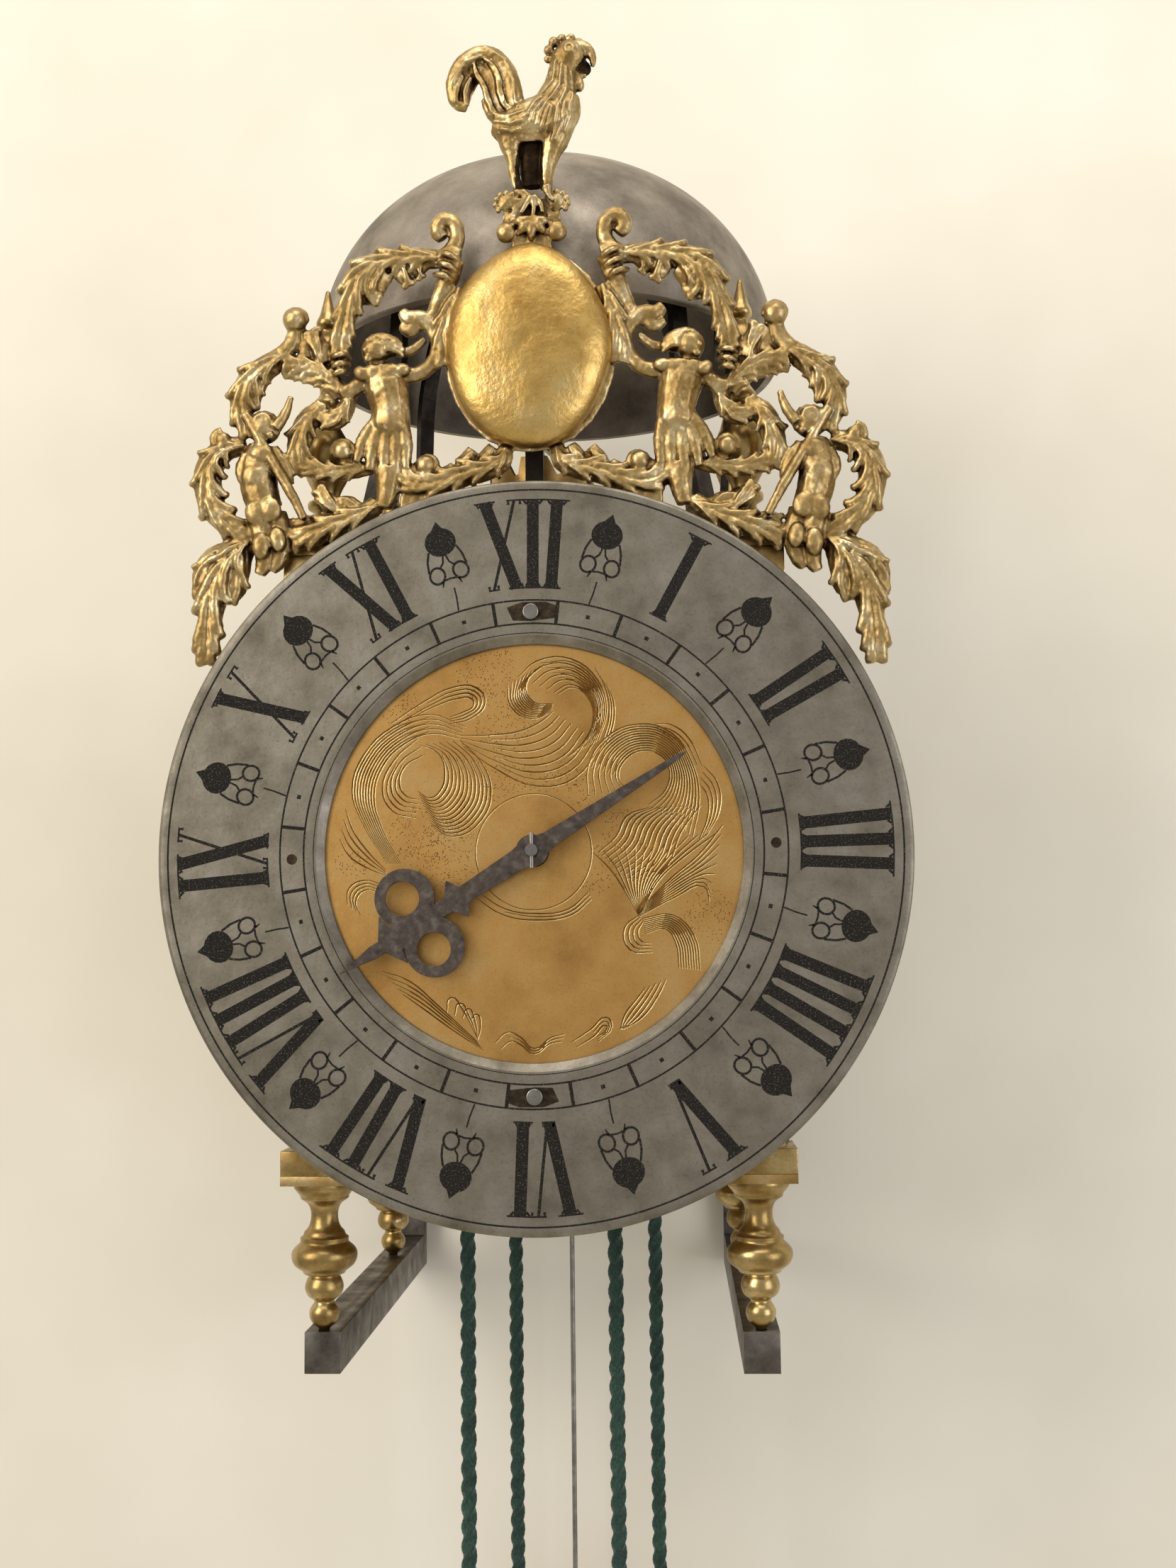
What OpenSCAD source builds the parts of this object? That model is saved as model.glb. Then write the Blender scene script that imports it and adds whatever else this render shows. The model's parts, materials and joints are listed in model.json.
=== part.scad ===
// Lantern clock with a verge escapement, a striking train and a pierced front fret.
// X runs to the right of the dial, Y runs back to the wall and Z runs up.
// The origin is the middle of the four screw holes on the wall.

/* [Frame] */
// Distance between the pillars, left to right
pillar_dx = 140; // [130:1:150]
// Distance between the pillars, front to back
pillar_dy = 140; // [136:1:150]
// Height from the underside of the bottom plate to the top of the top plate
frame_h = 207; // [200:1:215]
// Distance from the wall to the rear pillars
wall_gap = 55; // [50:1:70]
// Thickness of the top and bottom plates
plate_t = 3; // [2.5:0.5:4]
// Width of the square blocks at the ends of the pillars
block_w = 24; // [20:1:26]
// Height of the square blocks
block_h = 8; // [6:1:12]
// Diameter of the turned pillars
pillar_d = 12; // [9:1:14]
// Height of a foot
foot_h = 47; // [44:1:52]
// Height of a finial
finial_h = 89; // [80:1:95]

/* [Wall bracket] */
// Width of the iron bars
bar_w = 11.6; // [10:0.2:14]
// Height of the iron bars
bar_h = 13; // [10:0.5:16]
// Thickness of the upright leg against the wall
leg_t = 6; // [4:0.5:8]
// Distance between the two screw holes of one leg
screw_dz = 45; // [35:1:55]
// Radius of the screw holes
screw_r = 2.5; // [2:0.1:3]
// How far the bars reach past the front feet
bar_reach = 3; // [2:0.5:8]

/* [Dial] */
// Outer diameter of the dial ring
dial_d = 240; // [230:1:244]
// Diameter of the opening of the dial ring
dial_opening = 133; // [125:1:138]
// Thickness of the dial ring
dial_t = 3.2; // [2.5:0.1:4]
// Height of the dial centre above the bottom plate's underside
dial_z = 105; // [102:1:108]
// Distance from the front of the frame to the dial's front face
dial_reach = 9; // [8.6:0.1:10]
// Diameter of the engraved centre plate
centre_d = 162; // [150:1:170]
// Distance from the dial centre to the two dial pins
dial_pin_r = 76.8; // [74:0.2:78]

/* [Hand] */
// Length of the pointing end of the hand
hand_l = 71.4; // [68:0.2:76]
// Length of the tail of the hand
tail_l = 57.8; // [50:0.2:60]
// Thickness of the hand
hand_t = 1.5; // [1:0.1:2]
// Angle of the pointing end, clockwise from the top
hand_a = 238; // [0:1:359]

/* [Bell] */
// Radius of the bell at its mouth
bell_r = 87; // [80:1:87]
// Height of the bell
bell_h = 77; // [65:1:80]
// Wall of the bell
bell_t = 3; // [2:0.5:4]
// Height of the bell's mouth above the top plate
bell_lift = 86; // [80:1:92]

/* [Fret] */
// Thickness of the cast fret
fret_t = 4; // [3:0.5:4]
// Height of the boss on the centre of the fret
boss_h = 9; // [6:0.5:11]

/* [Escapement] */
// Number of teeth of the crown wheel
crown_n = 15; // [11:2:19]
// Radius of the crown wheel
crown_r = 18.5; // [15:0.5:19]
// Height of the crown wheel's tooth tips above the top plate
crown_lift = 37.5; // [35:0.5:40]
// Length of the pendulum from the verge to the middle of the bob
pendulum_l = 462; // [455:1:500]
// Diameter of the pendulum bob
bob_d = 44; // [36:1:46]

/* [Movement] */
// Radius of the rope on the pulley of the going train
going_rope_r = 25.2; // [23:0.2:26]
// Radius of the rope on the pulley of the striking train
strike_rope_r = 26.4; // [24:0.2:27]
// Diameter of the ropes
rope_d = 5.5; // [5:0.1:6]
// Thickness of the flat movement bars
strip_t = 3.5; // [3:0.5:4]
// Width of the movement bars
strip_w = 30; // [28:1:34]
// Gap between a pivot and its hole
pivot_gap = 0.05; // [0.03:0.01:0.08]

/* [Hidden] */
$fn = 48;
eps = 0.01;

// Colours of the real finishes
brass = "#b58a3f";
gilt = "#c9a24e";
iron = "#5a544e";
steel = "#8d8b86";
pewter = "#77735f";
bell_metal = "#7c7672";
rope_green = "#1f3a30";

// Places of the frame
px = pillar_dx / 2;
rear_y = -wall_gap;
front_y = rear_y - pillar_dy;
mid_y = (front_y + rear_y) / 2;
plate_x = px + block_w / 2;
plate_front = front_y - block_w / 2;
plate_rear = rear_y + block_w / 2;
top_z = frame_h;
bar_top = -foot_h;
bar_front = front_y - bar_reach;
corners = [[-px, front_y], [px, front_y], [-px, rear_y], [px, rear_y]];
tenon_r = 3;
lug_t = 2.5;
finial_z = top_z + lug_t;
spigot_r = 2;
spigot_h = 6;

// Places of the dial, from the front backwards
dial_y = plate_front - dial_reach;
centre_t = 1.6;
centre_y = dial_y + dial_t;
front_plate_t = 1.6;
fret_y = plate_front - fret_t;
lug_x = 37;
// the ornament is drawn for a frame 207 high, and moves up with the top plate
ornament_up = top_z - 207;

// Places of the movement bars and of the wheels, as distances behind the frame's front
front_strip = plate_front + 19;
middle_strip = plate_front + 77;
rear_strip = plate_front + 141;
going_x = -2.4;
strike_x = 9.2;

// Tooth counts and modules: each wheel with the pinion that it drives
great_n = 56;  second_pn = 7;  great_m = 1.25;
second_n = 44; contrate_pn = 8; second_m = 1.1;
contrate_n = 40; crown_pn = 10; contrate_m = 1;
hour_n = 72;   hour_pn = 6;    hour_m = 0.8;
strike_n = 72; hoop_pn = 6;    strike_m = 1;
hoop_n = 48;   warning_pn = 8; hoop_m = 1;
warning_n = 48; fly_pn = 8;    warning_m = 0.9;
count_n = 39;  count_pn = 6;   count_m = 1.2;

function apart(a, b, m) = (a + b) * m / 2;

// Heights of the arbors, each in mesh with the one before it
hour_d = apart(hour_n, hour_pn, hour_m);
great_z = dial_z - sqrt(hour_d * hour_d - going_x * going_x);
second_d = apart(great_n, second_pn, great_m);
second_z = great_z + sqrt(second_d * second_d - going_x * going_x);
contrate_z = second_z + apart(second_n, contrate_pn, second_m);
hoop_z = great_z + apart(strike_n, hoop_pn, strike_m);
warning_z = hoop_z + apart(hoop_n, warning_pn, hoop_m);
fly_z = warning_z + apart(warning_n, fly_pn, warning_m);
count_z = great_z + apart(count_n, count_pn, count_m);

// Places of the wheels along their arbors
hour_y = front_strip - 13;
second_y = front_strip + 12;
going_rope_y = front_strip + 28;
great_y = going_rope_y + 6.5;
contrate_y = front_strip + 38;
contrate_tooth = 4;
contrate_tip = contrate_y - contrate_tooth;
crown_pr = crown_pn * contrate_m / 2;
crown_y = contrate_tip + 0.8 - crown_pr;
hoop_y = middle_strip + 10;
strike_y = middle_strip + 26;
warning_y = middle_strip + 34;
strike_rope_y = middle_strip + 38;
fly_y = strike_rope_y + 4;
count_y = rear_strip + strip_t + 4.5;
arbor_r = 2;
pivot_r = 1.2;
pin_circle = 29;

// Places of the escapement
crown_tip = top_z + crown_lift;
pallet_r = 5.6;
verge_z = crown_tip + 4.8;
verge_r = 1.3;
verge_front = front_y;
pendulum_y = plate_rear / 2 + 1.5;

// Places of the bell
bell_y = plate_front + bell_r + 1.3;
bell_z = top_z + bell_lift;
bell_flat = 9;
stud_r = 3;

// Places of the levers
arm_z = 100;
hammer_x = bell_r - 29;
hammer_y = bell_y + 1;
detent_x = -44;
detent_z = arm_z + 20;
lifting_z = arm_z - 4;

// The ropes hang from the pulleys to just below the view of the photograph
rope_r = rope_d / 2;
going_end_z = -142;
strike_end_z = -164;

// Smooth curve through the points of a list, n steps from each point to the next
function smooth(p, n) = [
  for (i = [0 : len(p) - 2], k = [0 : n - 1])
    let (t = k / n, a = p[max(i - 1, 0)], b = p[i], c = p[i + 1], d = p[min(i + 2, len(p) - 1)])
    0.5 * (2 * b + (c - a) * t + (2 * a - 5 * b + 4 * c - d) * t * t
      + (3 * b - a - 3 * c + d) * t * t * t),
  p[len(p) - 1]];

// Direction of a curve at its point i, in the plane
function heading(p, i) = let (a = p[max(i - 1, 0)], b = p[min(i + 1, len(p) - 1)])
  atan2(b[1] - a[1], b[0] - a[0]);

// Outline of a limb that follows the points [x, z, half width], with round ends
function limb_outline(p) = let (n = len(p) - 1) concat(
  [for (i = [0 : n]) let (h = heading(p, i)) [p[i][0] - p[i][2] * sin(h), p[i][1] + p[i][2] * cos(h)]],
  [for (a = [60, 30, 0, -30, -60]) let (h = heading(p, n) + a)
    [p[n][0] + p[n][2] * cos(h), p[n][1] + p[n][2] * sin(h)]],
  [for (i = [n : -1 : 0]) let (h = heading(p, i)) [p[i][0] + p[i][2] * sin(h), p[i][1] - p[i][2] * cos(h)]],
  [for (a = [60, 30, 0, -30, -60]) let (h = heading(p, 0) + 180 + a)
    [p[0][0] + p[0][2] * cos(h), p[0][1] + p[0][2] * sin(h)]]);

// A limb as a flat shape, for points [x, z, half width]
module limb(p, n = 3) {
  polygon(limb_outline(smooth(p, n)));
}

// Stands a flat shape drawn in x and z upright, with its front at y and its depth t behind it
module upright(y, t) {
  translate([0, y + t, 0]) rotate([90, 0, 0]) linear_extrude(t) children();
}

// Cylinder along Y from y0 to y1, at x and z
module rod_y(x, z, y0, y1, r) {
  translate([x, y1, z]) rotate([90, 0, 0]) cylinder(h = y1 - y0, r = r);
}

// Cylinder along Z from z0 to z1
module rod_z(x, y, z0, z1, r) {
  translate([x, y, z0]) cylinder(h = z1 - z0, r = r);
}

// Outline of a spur gear with a tooth on the +X axis when turn is 0
function gear_outline(n, m, turn) = [for (i = [0 : n - 1], k = [0 : 3])
  let (pitch = 360 / n, a = turn + i * pitch + [-0.27, -0.11, 0.11, 0.27][k] * pitch,
    r = n * m / 2 + [-1, 0.72, 0.72, -1][k] * m)
  [r * cos(a), r * sin(a)]];

// A gear in the upright plane from y0 to y1, with a tooth at the angle turn from +X towards +Z
module gear_y(x, z, y0, y1, n, m, turn) {
  translate([x, y1, z]) rotate([90, 0, 0]) linear_extrude(y1 - y0) polygon(gear_outline(n, m, turn));
}

// Windows between the spokes of a wheel, cut out from y0 to y1
module spoke_windows(x, z, y0, y1, r_in, r_out, spokes) {
  step = 360 / spokes;
  gap = 12;
  for (i = [0 : spokes - 1])
    translate([x, y1 + eps, z]) rotate([90, 0, 0]) linear_extrude(y1 - y0 + 2 * eps)
      polygon(concat(
        [for (k = [0 : 6]) let (a = i * step + gap / 2 + k * (step - gap) / 6) r_out * [cos(a), sin(a)]],
        [for (k = [6 : -1 : 0]) let (a = i * step + gap + k * (step - 2 * gap) / 6) r_in * [cos(a), sin(a)]]));
}

// Angle of the line from one arbor to the next, and the turns that put them in mesh
function mesh_angle(x0, z0, x1, z1) = atan2(z1 - z0, x1 - x0);
function tooth_at(angle) = angle;
function gap_at(angle, n) = angle + 180 + 180 / n;

module bracket(side) {
  x = side * px;
  color(steel) difference() {
    union() {
      translate([x - bar_w / 2, bar_front, bar_top - bar_h]) cube([bar_w, -bar_front, bar_h]);
      translate([x - bar_w / 2, -leg_t, bar_top - bar_h])
        cube([bar_w, leg_t, bar_h + foot_h + screw_dz / 2 + bar_w]);
    }
    for (z = [-screw_dz / 2, screw_dz / 2]) rod_y(x, z, -leg_t - 1, 1, screw_r);
    for (y = [front_y, rear_y]) rod_z(x, y, bar_top - spigot_h, bar_top + 1, spigot_r + pivot_gap);
  }
}

// Plate with the holes for the pillar tenons and the movement bars' tenons
module frame_plate(z0) {
  difference() {
    translate([-plate_x, plate_front, z0]) cube([2 * plate_x, plate_rear - plate_front, plate_t]);
    for (c = corners) rod_z(c[0], c[1], z0 - 1, z0 + plate_t + 1, tenon_r + pivot_gap);
    for (y = [front_strip, middle_strip, rear_strip])
      translate([strip_x(y) - 5.1, y - 0.1, z0 - 1]) cube([10.2, strip_t + 0.2, plate_t + 2]);
    for (s = [-1, 1]) rod_z(s * door_x, door_y, z0 - 1, z0 + plate_t + 1, 1.6);
    children();
  }
}

// Rope holes through the bottom plate
module bottom_plate() {
  color(brass) frame_plate(0) {
    rope_hole(going_x - going_rope_r, going_rope_y, 0);
    rope_hole(going_x + going_rope_r, going_rope_y, 0);
    rope_hole(strike_x - strike_rope_r, strike_rope_y, 0);
    rope_hole(strike_x + strike_rope_r, strike_rope_y, 0);
  }
}

module rope_hole(x, y, z0) {
  rod_z(x, y, z0 - 1, z0 + plate_t + 1, rope_r + 2);
}

// Holes for the crown wheel's arbor and the hammer's stem through the top plate
module top_plate() {
  color(brass) frame_plate(top_z - plate_t) {
    rod_z(0, crown_y, top_z - plate_t - 1, top_z + 1, 4);
    for (s = [-1, 1]) rod_y(s * lug_x, top_z - 1.5, plate_front - 1, plate_front + 7, 1.25);
    translate([hammer_x - 18, hammer_y - 5, top_z - plate_t - 1]) cube([29, 10, plate_t + 2]);
  }
}

// Turned pillar with square blocks at its ends and a tenon through each plate
module pillar(x, y) {
  body = top_z - 2 * plate_t;
  r = pillar_d / 2;
  for (z = [plate_t, top_z - plate_t - block_h])
    translate([x - block_w / 2, y - block_w / 2, z]) cube([block_w, block_w, block_h]);
  rod_z(x, y, -5, top_z + lug_t + 5, tenon_r);
  translate([x, y, plate_t + block_h]) rotate_extrude()
    polygon([[0, 0], [r + 3, 0], [r + 3, 3], [r, 7], [r - 1, 30],
      [r + 0.5, (body - 2 * block_h) / 2 - 4], [r + 2.5, (body - 2 * block_h) / 2],
      [r + 0.5, (body - 2 * block_h) / 2 + 4], [r - 1, body - 2 * block_h - 30],
      [r, body - 2 * block_h - 7], [r + 3, body - 2 * block_h - 3],
      [r + 3, body - 2 * block_h], [0, body - 2 * block_h]]);
}

module pillars() {
  color(brass) for (c = corners) pillar(c[0], c[1]);
}

// Half profile of a foot, from the bar up to the plate, in shares of its height
foot_profile = [[1.5, 0], [2.2, 0.03], [3.8, 0.055], [4.6, 0.09], [4.8, 0.12], [4.5, 0.155], [3.6, 0.18],
  [3.3, 0.2], [3.9, 0.215], [5.4, 0.24], [6.1, 0.27], [6.2, 0.3], [5.9, 0.33], [5.1, 0.36], [5, 0.375],
  [6.7, 0.39], [7, 0.405], [8.6, 0.42], [10, 0.45], [10.5, 0.485], [10.6, 0.51], [10.2, 0.54], [9, 0.57],
  [7.9, 0.59], [7.8, 0.63], [6.9, 0.64], [6.4, 0.67], [5, 0.7], [4.4, 0.74], [4.3, 0.79], [4.9, 0.84],
  [6.4, 0.875], [7.8, 0.89], [7.8, 0.905], [8.2, 0.91], [9.6, 0.955], [10, 0.97], [10, 1]];

module foot(i) {
  c = corners[i];
  color(brass) difference() {
    union() {
      translate([c[0], c[1], bar_top]) rotate_extrude()
        polygon(concat([[0, 0]], [for (p = foot_profile) [p[0], p[1] * foot_h]], [[0, foot_h]]));
      rod_z(c[0], c[1], bar_top - spigot_h + 0.5, bar_top + 1, spigot_r);
    }
    rod_z(c[0], c[1], -5.5, 1, tenon_r + pivot_gap);
  }
}

// Half profile of a finial, from its seat up to the tip, in shares of its height
finial_profile = [[9.5, 0], [9.5, 0.03], [8.6, 0.045], [6, 0.08], [4.2, 0.11], [4, 0.13], [6.4, 0.145],
  [6.4, 0.165], [4, 0.18], [4.6, 0.21], [6.9, 0.26], [8, 0.31], [8.1, 0.35], [7.2, 0.4], [5, 0.44],
  [3.2, 0.48], [2.8, 0.5], [4.6, 0.52], [4.9, 0.54], [4.4, 0.56], [2.7, 0.585], [2.6, 0.61], [3.6, 0.65],
  [5.2, 0.69], [5.7, 0.73], [5.5, 0.77], [4.2, 0.805], [2.4, 0.825], [2.3, 0.84], [3.7, 0.85],
  [3.9, 0.87], [3.3, 0.885], [2.6, 0.9], [1.3, 0.96], [0.6, 1]];

module finial(i) {
  c = corners[i];
  color(brass) difference() {
    translate([c[0], c[1], finial_z]) rotate_extrude()
      polygon(concat([[0, 0]], [for (p = finial_profile) [p[0], p[1] * finial_h]], [[0, finial_h]]));
    rod_z(c[0], c[1], finial_z - 1, finial_z + 5.5, tenon_r + pivot_gap);
  }
}

// Dial ring with a chamfered opening and a rounded rim
module dial_ring() {
  r = dial_d / 2;
  o = dial_opening / 2;
  color(pewter) difference() {
    translate([0, dial_y + dial_t, dial_z]) rotate([90, 0, 0]) rotate_extrude($fn = 120)
      polygon([[o, 0], [r, 0], [r, dial_t - 0.8], [r - 0.8, dial_t], [o + 1.6, dial_t], [o, dial_t - 1.6]]);
    for (s = [-1, 1]) rod_y(0, dial_z + s * dial_pin_r, dial_y - 1, centre_y + 1, 1.65);
  }
}

module dial_centre() {
  color(brass) difference() {
    rod_y(0, dial_z, centre_y, centre_y + centre_t, centre_d / 2, $fn = 120);
    for (s = [-1, 1]) rod_y(0, dial_z + s * dial_pin_r, centre_y - 1, centre_y + centre_t + 1, 1.65);
    rod_y(0, dial_z, centre_y - 1, centre_y + centre_t + 1, 5);
  }
}

// Pins that rivet the ring and the centre to the front plate, with a collar between the sheets
module dial_pins() {
  color(steel) for (s = [-1, 1]) {
    z = dial_z + s * dial_pin_r;
    rod_y(0, z, dial_y - 0.9, plate_front + 1.5, 1.6);
    rod_y(0, z, dial_y - 0.9, dial_y, 2.6);
    rod_y(0, z, centre_y + centre_t, plate_front - front_plate_t, 3.2);
  }
}

// Sheet iron front of the movement, with a tongue up to the top plate
module front_plate() {
  color(iron) difference() {
    union() {
      translate([-px + 14, plate_front - front_plate_t, 0.5]) cube([2 * px - 28, front_plate_t, top_z - 8]);
      translate([-25, plate_front - front_plate_t, top_z - 8]) cube([50, front_plate_t, 7]);
    }
    for (s = [-1, 1]) rod_y(0, dial_z + s * dial_pin_r, plate_front - 3, plate_front + 1, 1.65);
    rod_y(0, dial_z, plate_front - 3, plate_front + 1, 6);
  }
}

module back_plate() {
  color(iron) translate([-px + 14, plate_rear, 0.5]) cube([2 * px - 28, 1.5, top_z - 1]);
}

// Cast scrollwork of one side. Points are x from the middle, z above the bottom plate, half width
module fret_wing() {
  // fluted leaves: the great arch, the run along the dial, the outer arch and the hanging leaf
  limb([[29.5, 302.5, 2.7], [37.4, 302.8, 3.3], [46.2, 301.9, 3.7], [53.1, 299.9, 4.1],
    [58, 295.2, 4.5], [60.5, 288.2, 3.5], [62.7, 280.7, 2.9], [63.9, 272.7, 2.4], [63.9, 266.3, 2.3]]);
  limb([[43.3, 300.3, 3.1], [42.5, 296.7, 2.9], [40.9, 293.6, 1.5]]);
  limb([[49.1, 298.4, 3.5], [53.1, 294.5, 4.5], [54.7, 290.3, 3.3], [51.5, 288.6, 1.6]]);
  limb([[36, 301.1, 2.5], [37.7, 298.2, 2.1], [36.6, 296.1, 1.1]]);
  limb([[24, 292, 3.1], [27.1, 284, 3.9], [28.9, 275, 3.9], [28.7, 266, 2.7]]);
  limb([[8.4, 238, 2.1], [9.8, 233.6, 3.1], [14.7, 231, 3.5], [21.6, 229.6, 3.7], [29.5, 226.4, 3.7],
    [37.4, 225.4, 3.5], [42.3, 227.9, 2.9], [43.8, 231.9, 1.9]]);
  limb([[12.4, 238, 2.3], [15.3, 234, 2.5], [17.7, 230, 1.5]]);
  limb([[19.2, 237.2, 2.1], [22, 233.4, 2.5], [24.6, 229.4, 1.7]]);
  limb([[25.8, 232.2, 1.5], [29, 229.6, 2.1], [32.4, 227.1, 1.7]]);
  limb([[51.5, 219.4, 2.7], [57, 215.8, 3.5], [64.9, 212.7, 3.9], [72.7, 209.7, 3.7],
    [79.6, 206.6, 2.7]]);
  limb([[62.9, 214.7, 2.7], [67.8, 220.2, 2.9], [71.4, 224.3, 1.7]]);
  limb([[56.6, 216.6, 2.1], [61.5, 220.3, 2.1], [65.5, 219.5, 1.5]]);
  limb([[70.8, 210.8, 2.5], [76.1, 213.5, 2.3], [79.4, 212.6, 1.5]]);
  limb([[53.1, 231.9, 2.1], [59, 231, 2.5], [66.8, 230.2, 2.5], [74.7, 231.5, 2.7],
    [80.6, 234.4, 2.5]]);
  limb([[71.2, 251.8, 2.5], [74.7, 248.5, 3.3], [77.5, 242, 3.7], [78.6, 235.6, 3.1],
    [77.7, 230.6, 1.9]]);
  limb([[60.7, 256.6, 2.1], [62.1, 252.1, 2.7], [65.3, 247.9, 2.9], [69.8, 247.6, 2.3],
    [72.3, 250.5, 1.9], [70.6, 253.2, 1.4]]);
  limb([[59, 255.2, 2.5], [63.9, 258.1, 2.7], [68.8, 262.8, 2.7], [74.7, 265.9, 2.5],
    [82.6, 266.7, 2.9]]);
  limb([[64.9, 255.1, 1.5], [69.8, 260, 1.7], [76.7, 262.6, 1.7], [82.6, 263.7, 1.5]]);
  limb([[70.4, 266.8, 2.7], [71.4, 271.9, 3.3], [73.7, 277.3, 2.3]]);
  limb([[81.6, 270.5, 3.1], [88.5, 266.6, 3.5], [94.4, 262.1, 3.7], [97.5, 255.4, 3.5],
    [97.1, 248.8, 3.1], [94.4, 242.9, 2.7]]);
  limb([[85.1, 265.7, 1.7], [89.5, 263.2, 2.3], [92.2, 258.5, 2.3], [93.8, 252.3, 1.7]]);
  limb([[95.9, 239.4, 2.7], [102.8, 238.1, 3.5], [107.9, 233, 4.1], [108.7, 224.6, 4.1],
    [106, 217, 3.7], [99.7, 211.4, 3.1], [94, 207.7, 2.7]]);
  limb([[93.8, 207.3, 3.1], [98.9, 203.4, 4.7], [103.6, 197.1, 5.3], [106.6, 189.6, 4.5],
    [107.7, 180.6, 3.5], [108.1, 172.6, 3.2], [108.3, 166.6, 2.1]]);
  limb([[101.2, 205.1, 2.5], [107.1, 201.2, 3.3], [110.5, 195.2, 3.1], [110.3, 188.6, 1.9]]);
  limb([[96.3, 204.4, 3.1], [98.3, 197.4, 3.5], [98.9, 191.2, 3], [100.5, 187, 1.5]]);
  // round stems, the hook on top and the necks of the balls
  limb([[26, 301, 3.5], [27.5, 295.6, 3.3], [30.1, 289.4, 2.6], [32, 284.7, 2.3], [33.4, 281.5, 2.5]]);
  limb([[23.2, 302.8, 2.5], [26.5, 303.6, 3], [30.3, 302.4, 2.5]]);
  limb([[27.9, 303.6, 2.5], [25.2, 307, 2.6], [24.5, 311.4, 2.5], [26.3, 315, 2.6], [29.5, 315.2, 2.7],
    [30.9, 311.8, 2.6], [28.9, 309.4, 2.1]]);
  limb([[79, 279, 2.5], [80.6, 273.6, 2.7], [83.9, 269.7, 2.9]]);
  limb([[76.3, 269, 2.1], [75.9, 273.9, 2.1], [77.1, 278, 1.7]]);
  limb([[60.4, 232, 1.7], [61.3, 235.2, 2.1]]);
  limb([[36.4, 226.5, 2.3], [38.9, 229.8, 2.1], [37, 232.2, 2.1]]);
  // standing figure with a raised arm and a leaf skirt, and a child with a staff
  limb([[49.5, 263.8, 5.7], [48.4, 257, 6.1], [46.8, 250, 5.3], [47, 243.4, 5.7]]);
  limb([[52.3, 267.9, 2.5], [50.9, 264, 2.9]]);
  limb([[43.6, 262.9, 2.6], [38.1, 262.8, 2.3], [33, 266.5, 2.1], [31.1, 272.6, 2], [33.2, 279.1, 2]]);
  limb([[32.8, 278.1, 2.1], [36.4, 281.5, 2.6], [40.7, 281.8, 2.5], [43.3, 284.3, 1.6]]);
  limb([[37.4, 280.2, 2.1], [40.3, 277.8, 2.2], [43.6, 279.7, 1.4]]);
  limb([[35.4, 275.1, 1.3], [39.3, 271.8, 1.5], [44.6, 270.3, 1.5]]);
  limb([[55, 261.9, 2.6], [59.4, 258, 2.4], [63.7, 256.9, 2.2]]);
  limb([[47.8, 231.4, 4.1], [48, 224.4, 3.3], [49.1, 218, 2.3]]);
  limb([[90, 238.8, 4.1], [91.4, 231.7, 5.3], [91, 224.3, 5.3], [89.1, 217.6, 4.9]]);
  limb([[86.3, 215.8, 3.9], [83.8, 207.1, 3.1], [84.9, 199.5, 2.3], [86.9, 197, 1.5]]);
  limb([[90.4, 215.6, 4.1], [89.5, 206.2, 3.3], [89.5, 198.6, 2.4], [90.8, 195.6, 1.7]]);
  limb([[86.9, 237.2, 2.3], [82.6, 231.7, 2.1], [81, 225.6, 1.8]]);
  limb([[94.4, 235.3, 2.5], [96.5, 229.4, 2.3], [93.4, 224.7, 1.8]]);
  limb([[42.9, 246.7, 2.2], [41.7, 238.8, 2.4], [41.5, 230.8, 1.5]]);
  limb([[45.2, 245.7, 2.2], [45, 237.3, 2.6], [45.2, 228.7, 1.5]]);
  limb([[47.8, 245.6, 2.2], [48.8, 237, 2.7], [49.1, 228, 1.5]]);
  limb([[50.1, 245.8, 2.2], [52.5, 238.1, 2.7], [53.9, 230.1, 1.5]]);
  limb([[51.7, 246.9, 2], [56, 239.9, 2.4], [58.2, 233, 1.4]]);
  limb([[95.4, 248.9, 1.7], [86.9, 234.2, 1.9], [80, 222.6, 1.9], [75.3, 213.5, 1.6]]);
  limb([[79.8, 254.4, 1.3], [81.8, 248.7, 1.8], [85.1, 243.7, 2.1]]);
  // balls and heads
  translate([79.2, 281.2]) circle(r = 3.9);
  translate([62.9, 236.9]) circle(r = 3.3);
  translate([35, 231.9]) circle(r = 3.3);
  translate([51.7, 270.7]) circle(r = 4.7);
  translate([46.6, 271.9]) circle(r = 3.5);
  translate([89.5, 244.6]) circle(r = 5.1);
  translate([103.4, 240.9]) circle(r = 2.5);
  // lug behind the dial with the screw, and the tongue behind the shield
  translate([lug_x - 6, 203]) square([12, 24]);
  intersection() {
    polygon(shield_outline(1.3, 271));
    translate([0.25, 230]) square([40, 65.6]);
  }
}

// Raised work on the front of one side of the fret, for heads and balls
module fret_relief() {
  raised = fret_y;
  for (p = [[79.2, 281.2, 3.8], [62.9, 236.9, 3.2], [35, 231.9, 3.2], [51.7, 270.7, 4.6],
    [46.6, 271.9, 3.4], [89.5, 244.6, 5], [103.4, 240.9, 2.4]])
    translate([p[0], raised + 0.5, p[1]]) sphere(r = p[2]);
}

module fret_side(side) {
  color(gilt) difference() {
    mirror([side < 0 ? 1 : 0, 0, 0]) translate([0, 0, ornament_up]) {
      upright(fret_y, fret_t) offset(delta = 0.2) fret_wing();
      fret_relief();
    }
    rod_y(side * lug_x, top_z - 1.5, fret_y - 1, plate_front + 1, 1.25);
  }
}

// Round-headed screws through the lugs into the front edge of the top plate
module fret_screws() {
  color(steel) for (s = [-1, 1]) {
    rod_y(s * lug_x, top_z - 1.5, fret_y - 1.2, plate_front + 6, 1.2);
    rod_y(s * lug_x, top_z - 1.5, fret_y - 1.2, fret_y, 2.6);
  }
}

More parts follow.
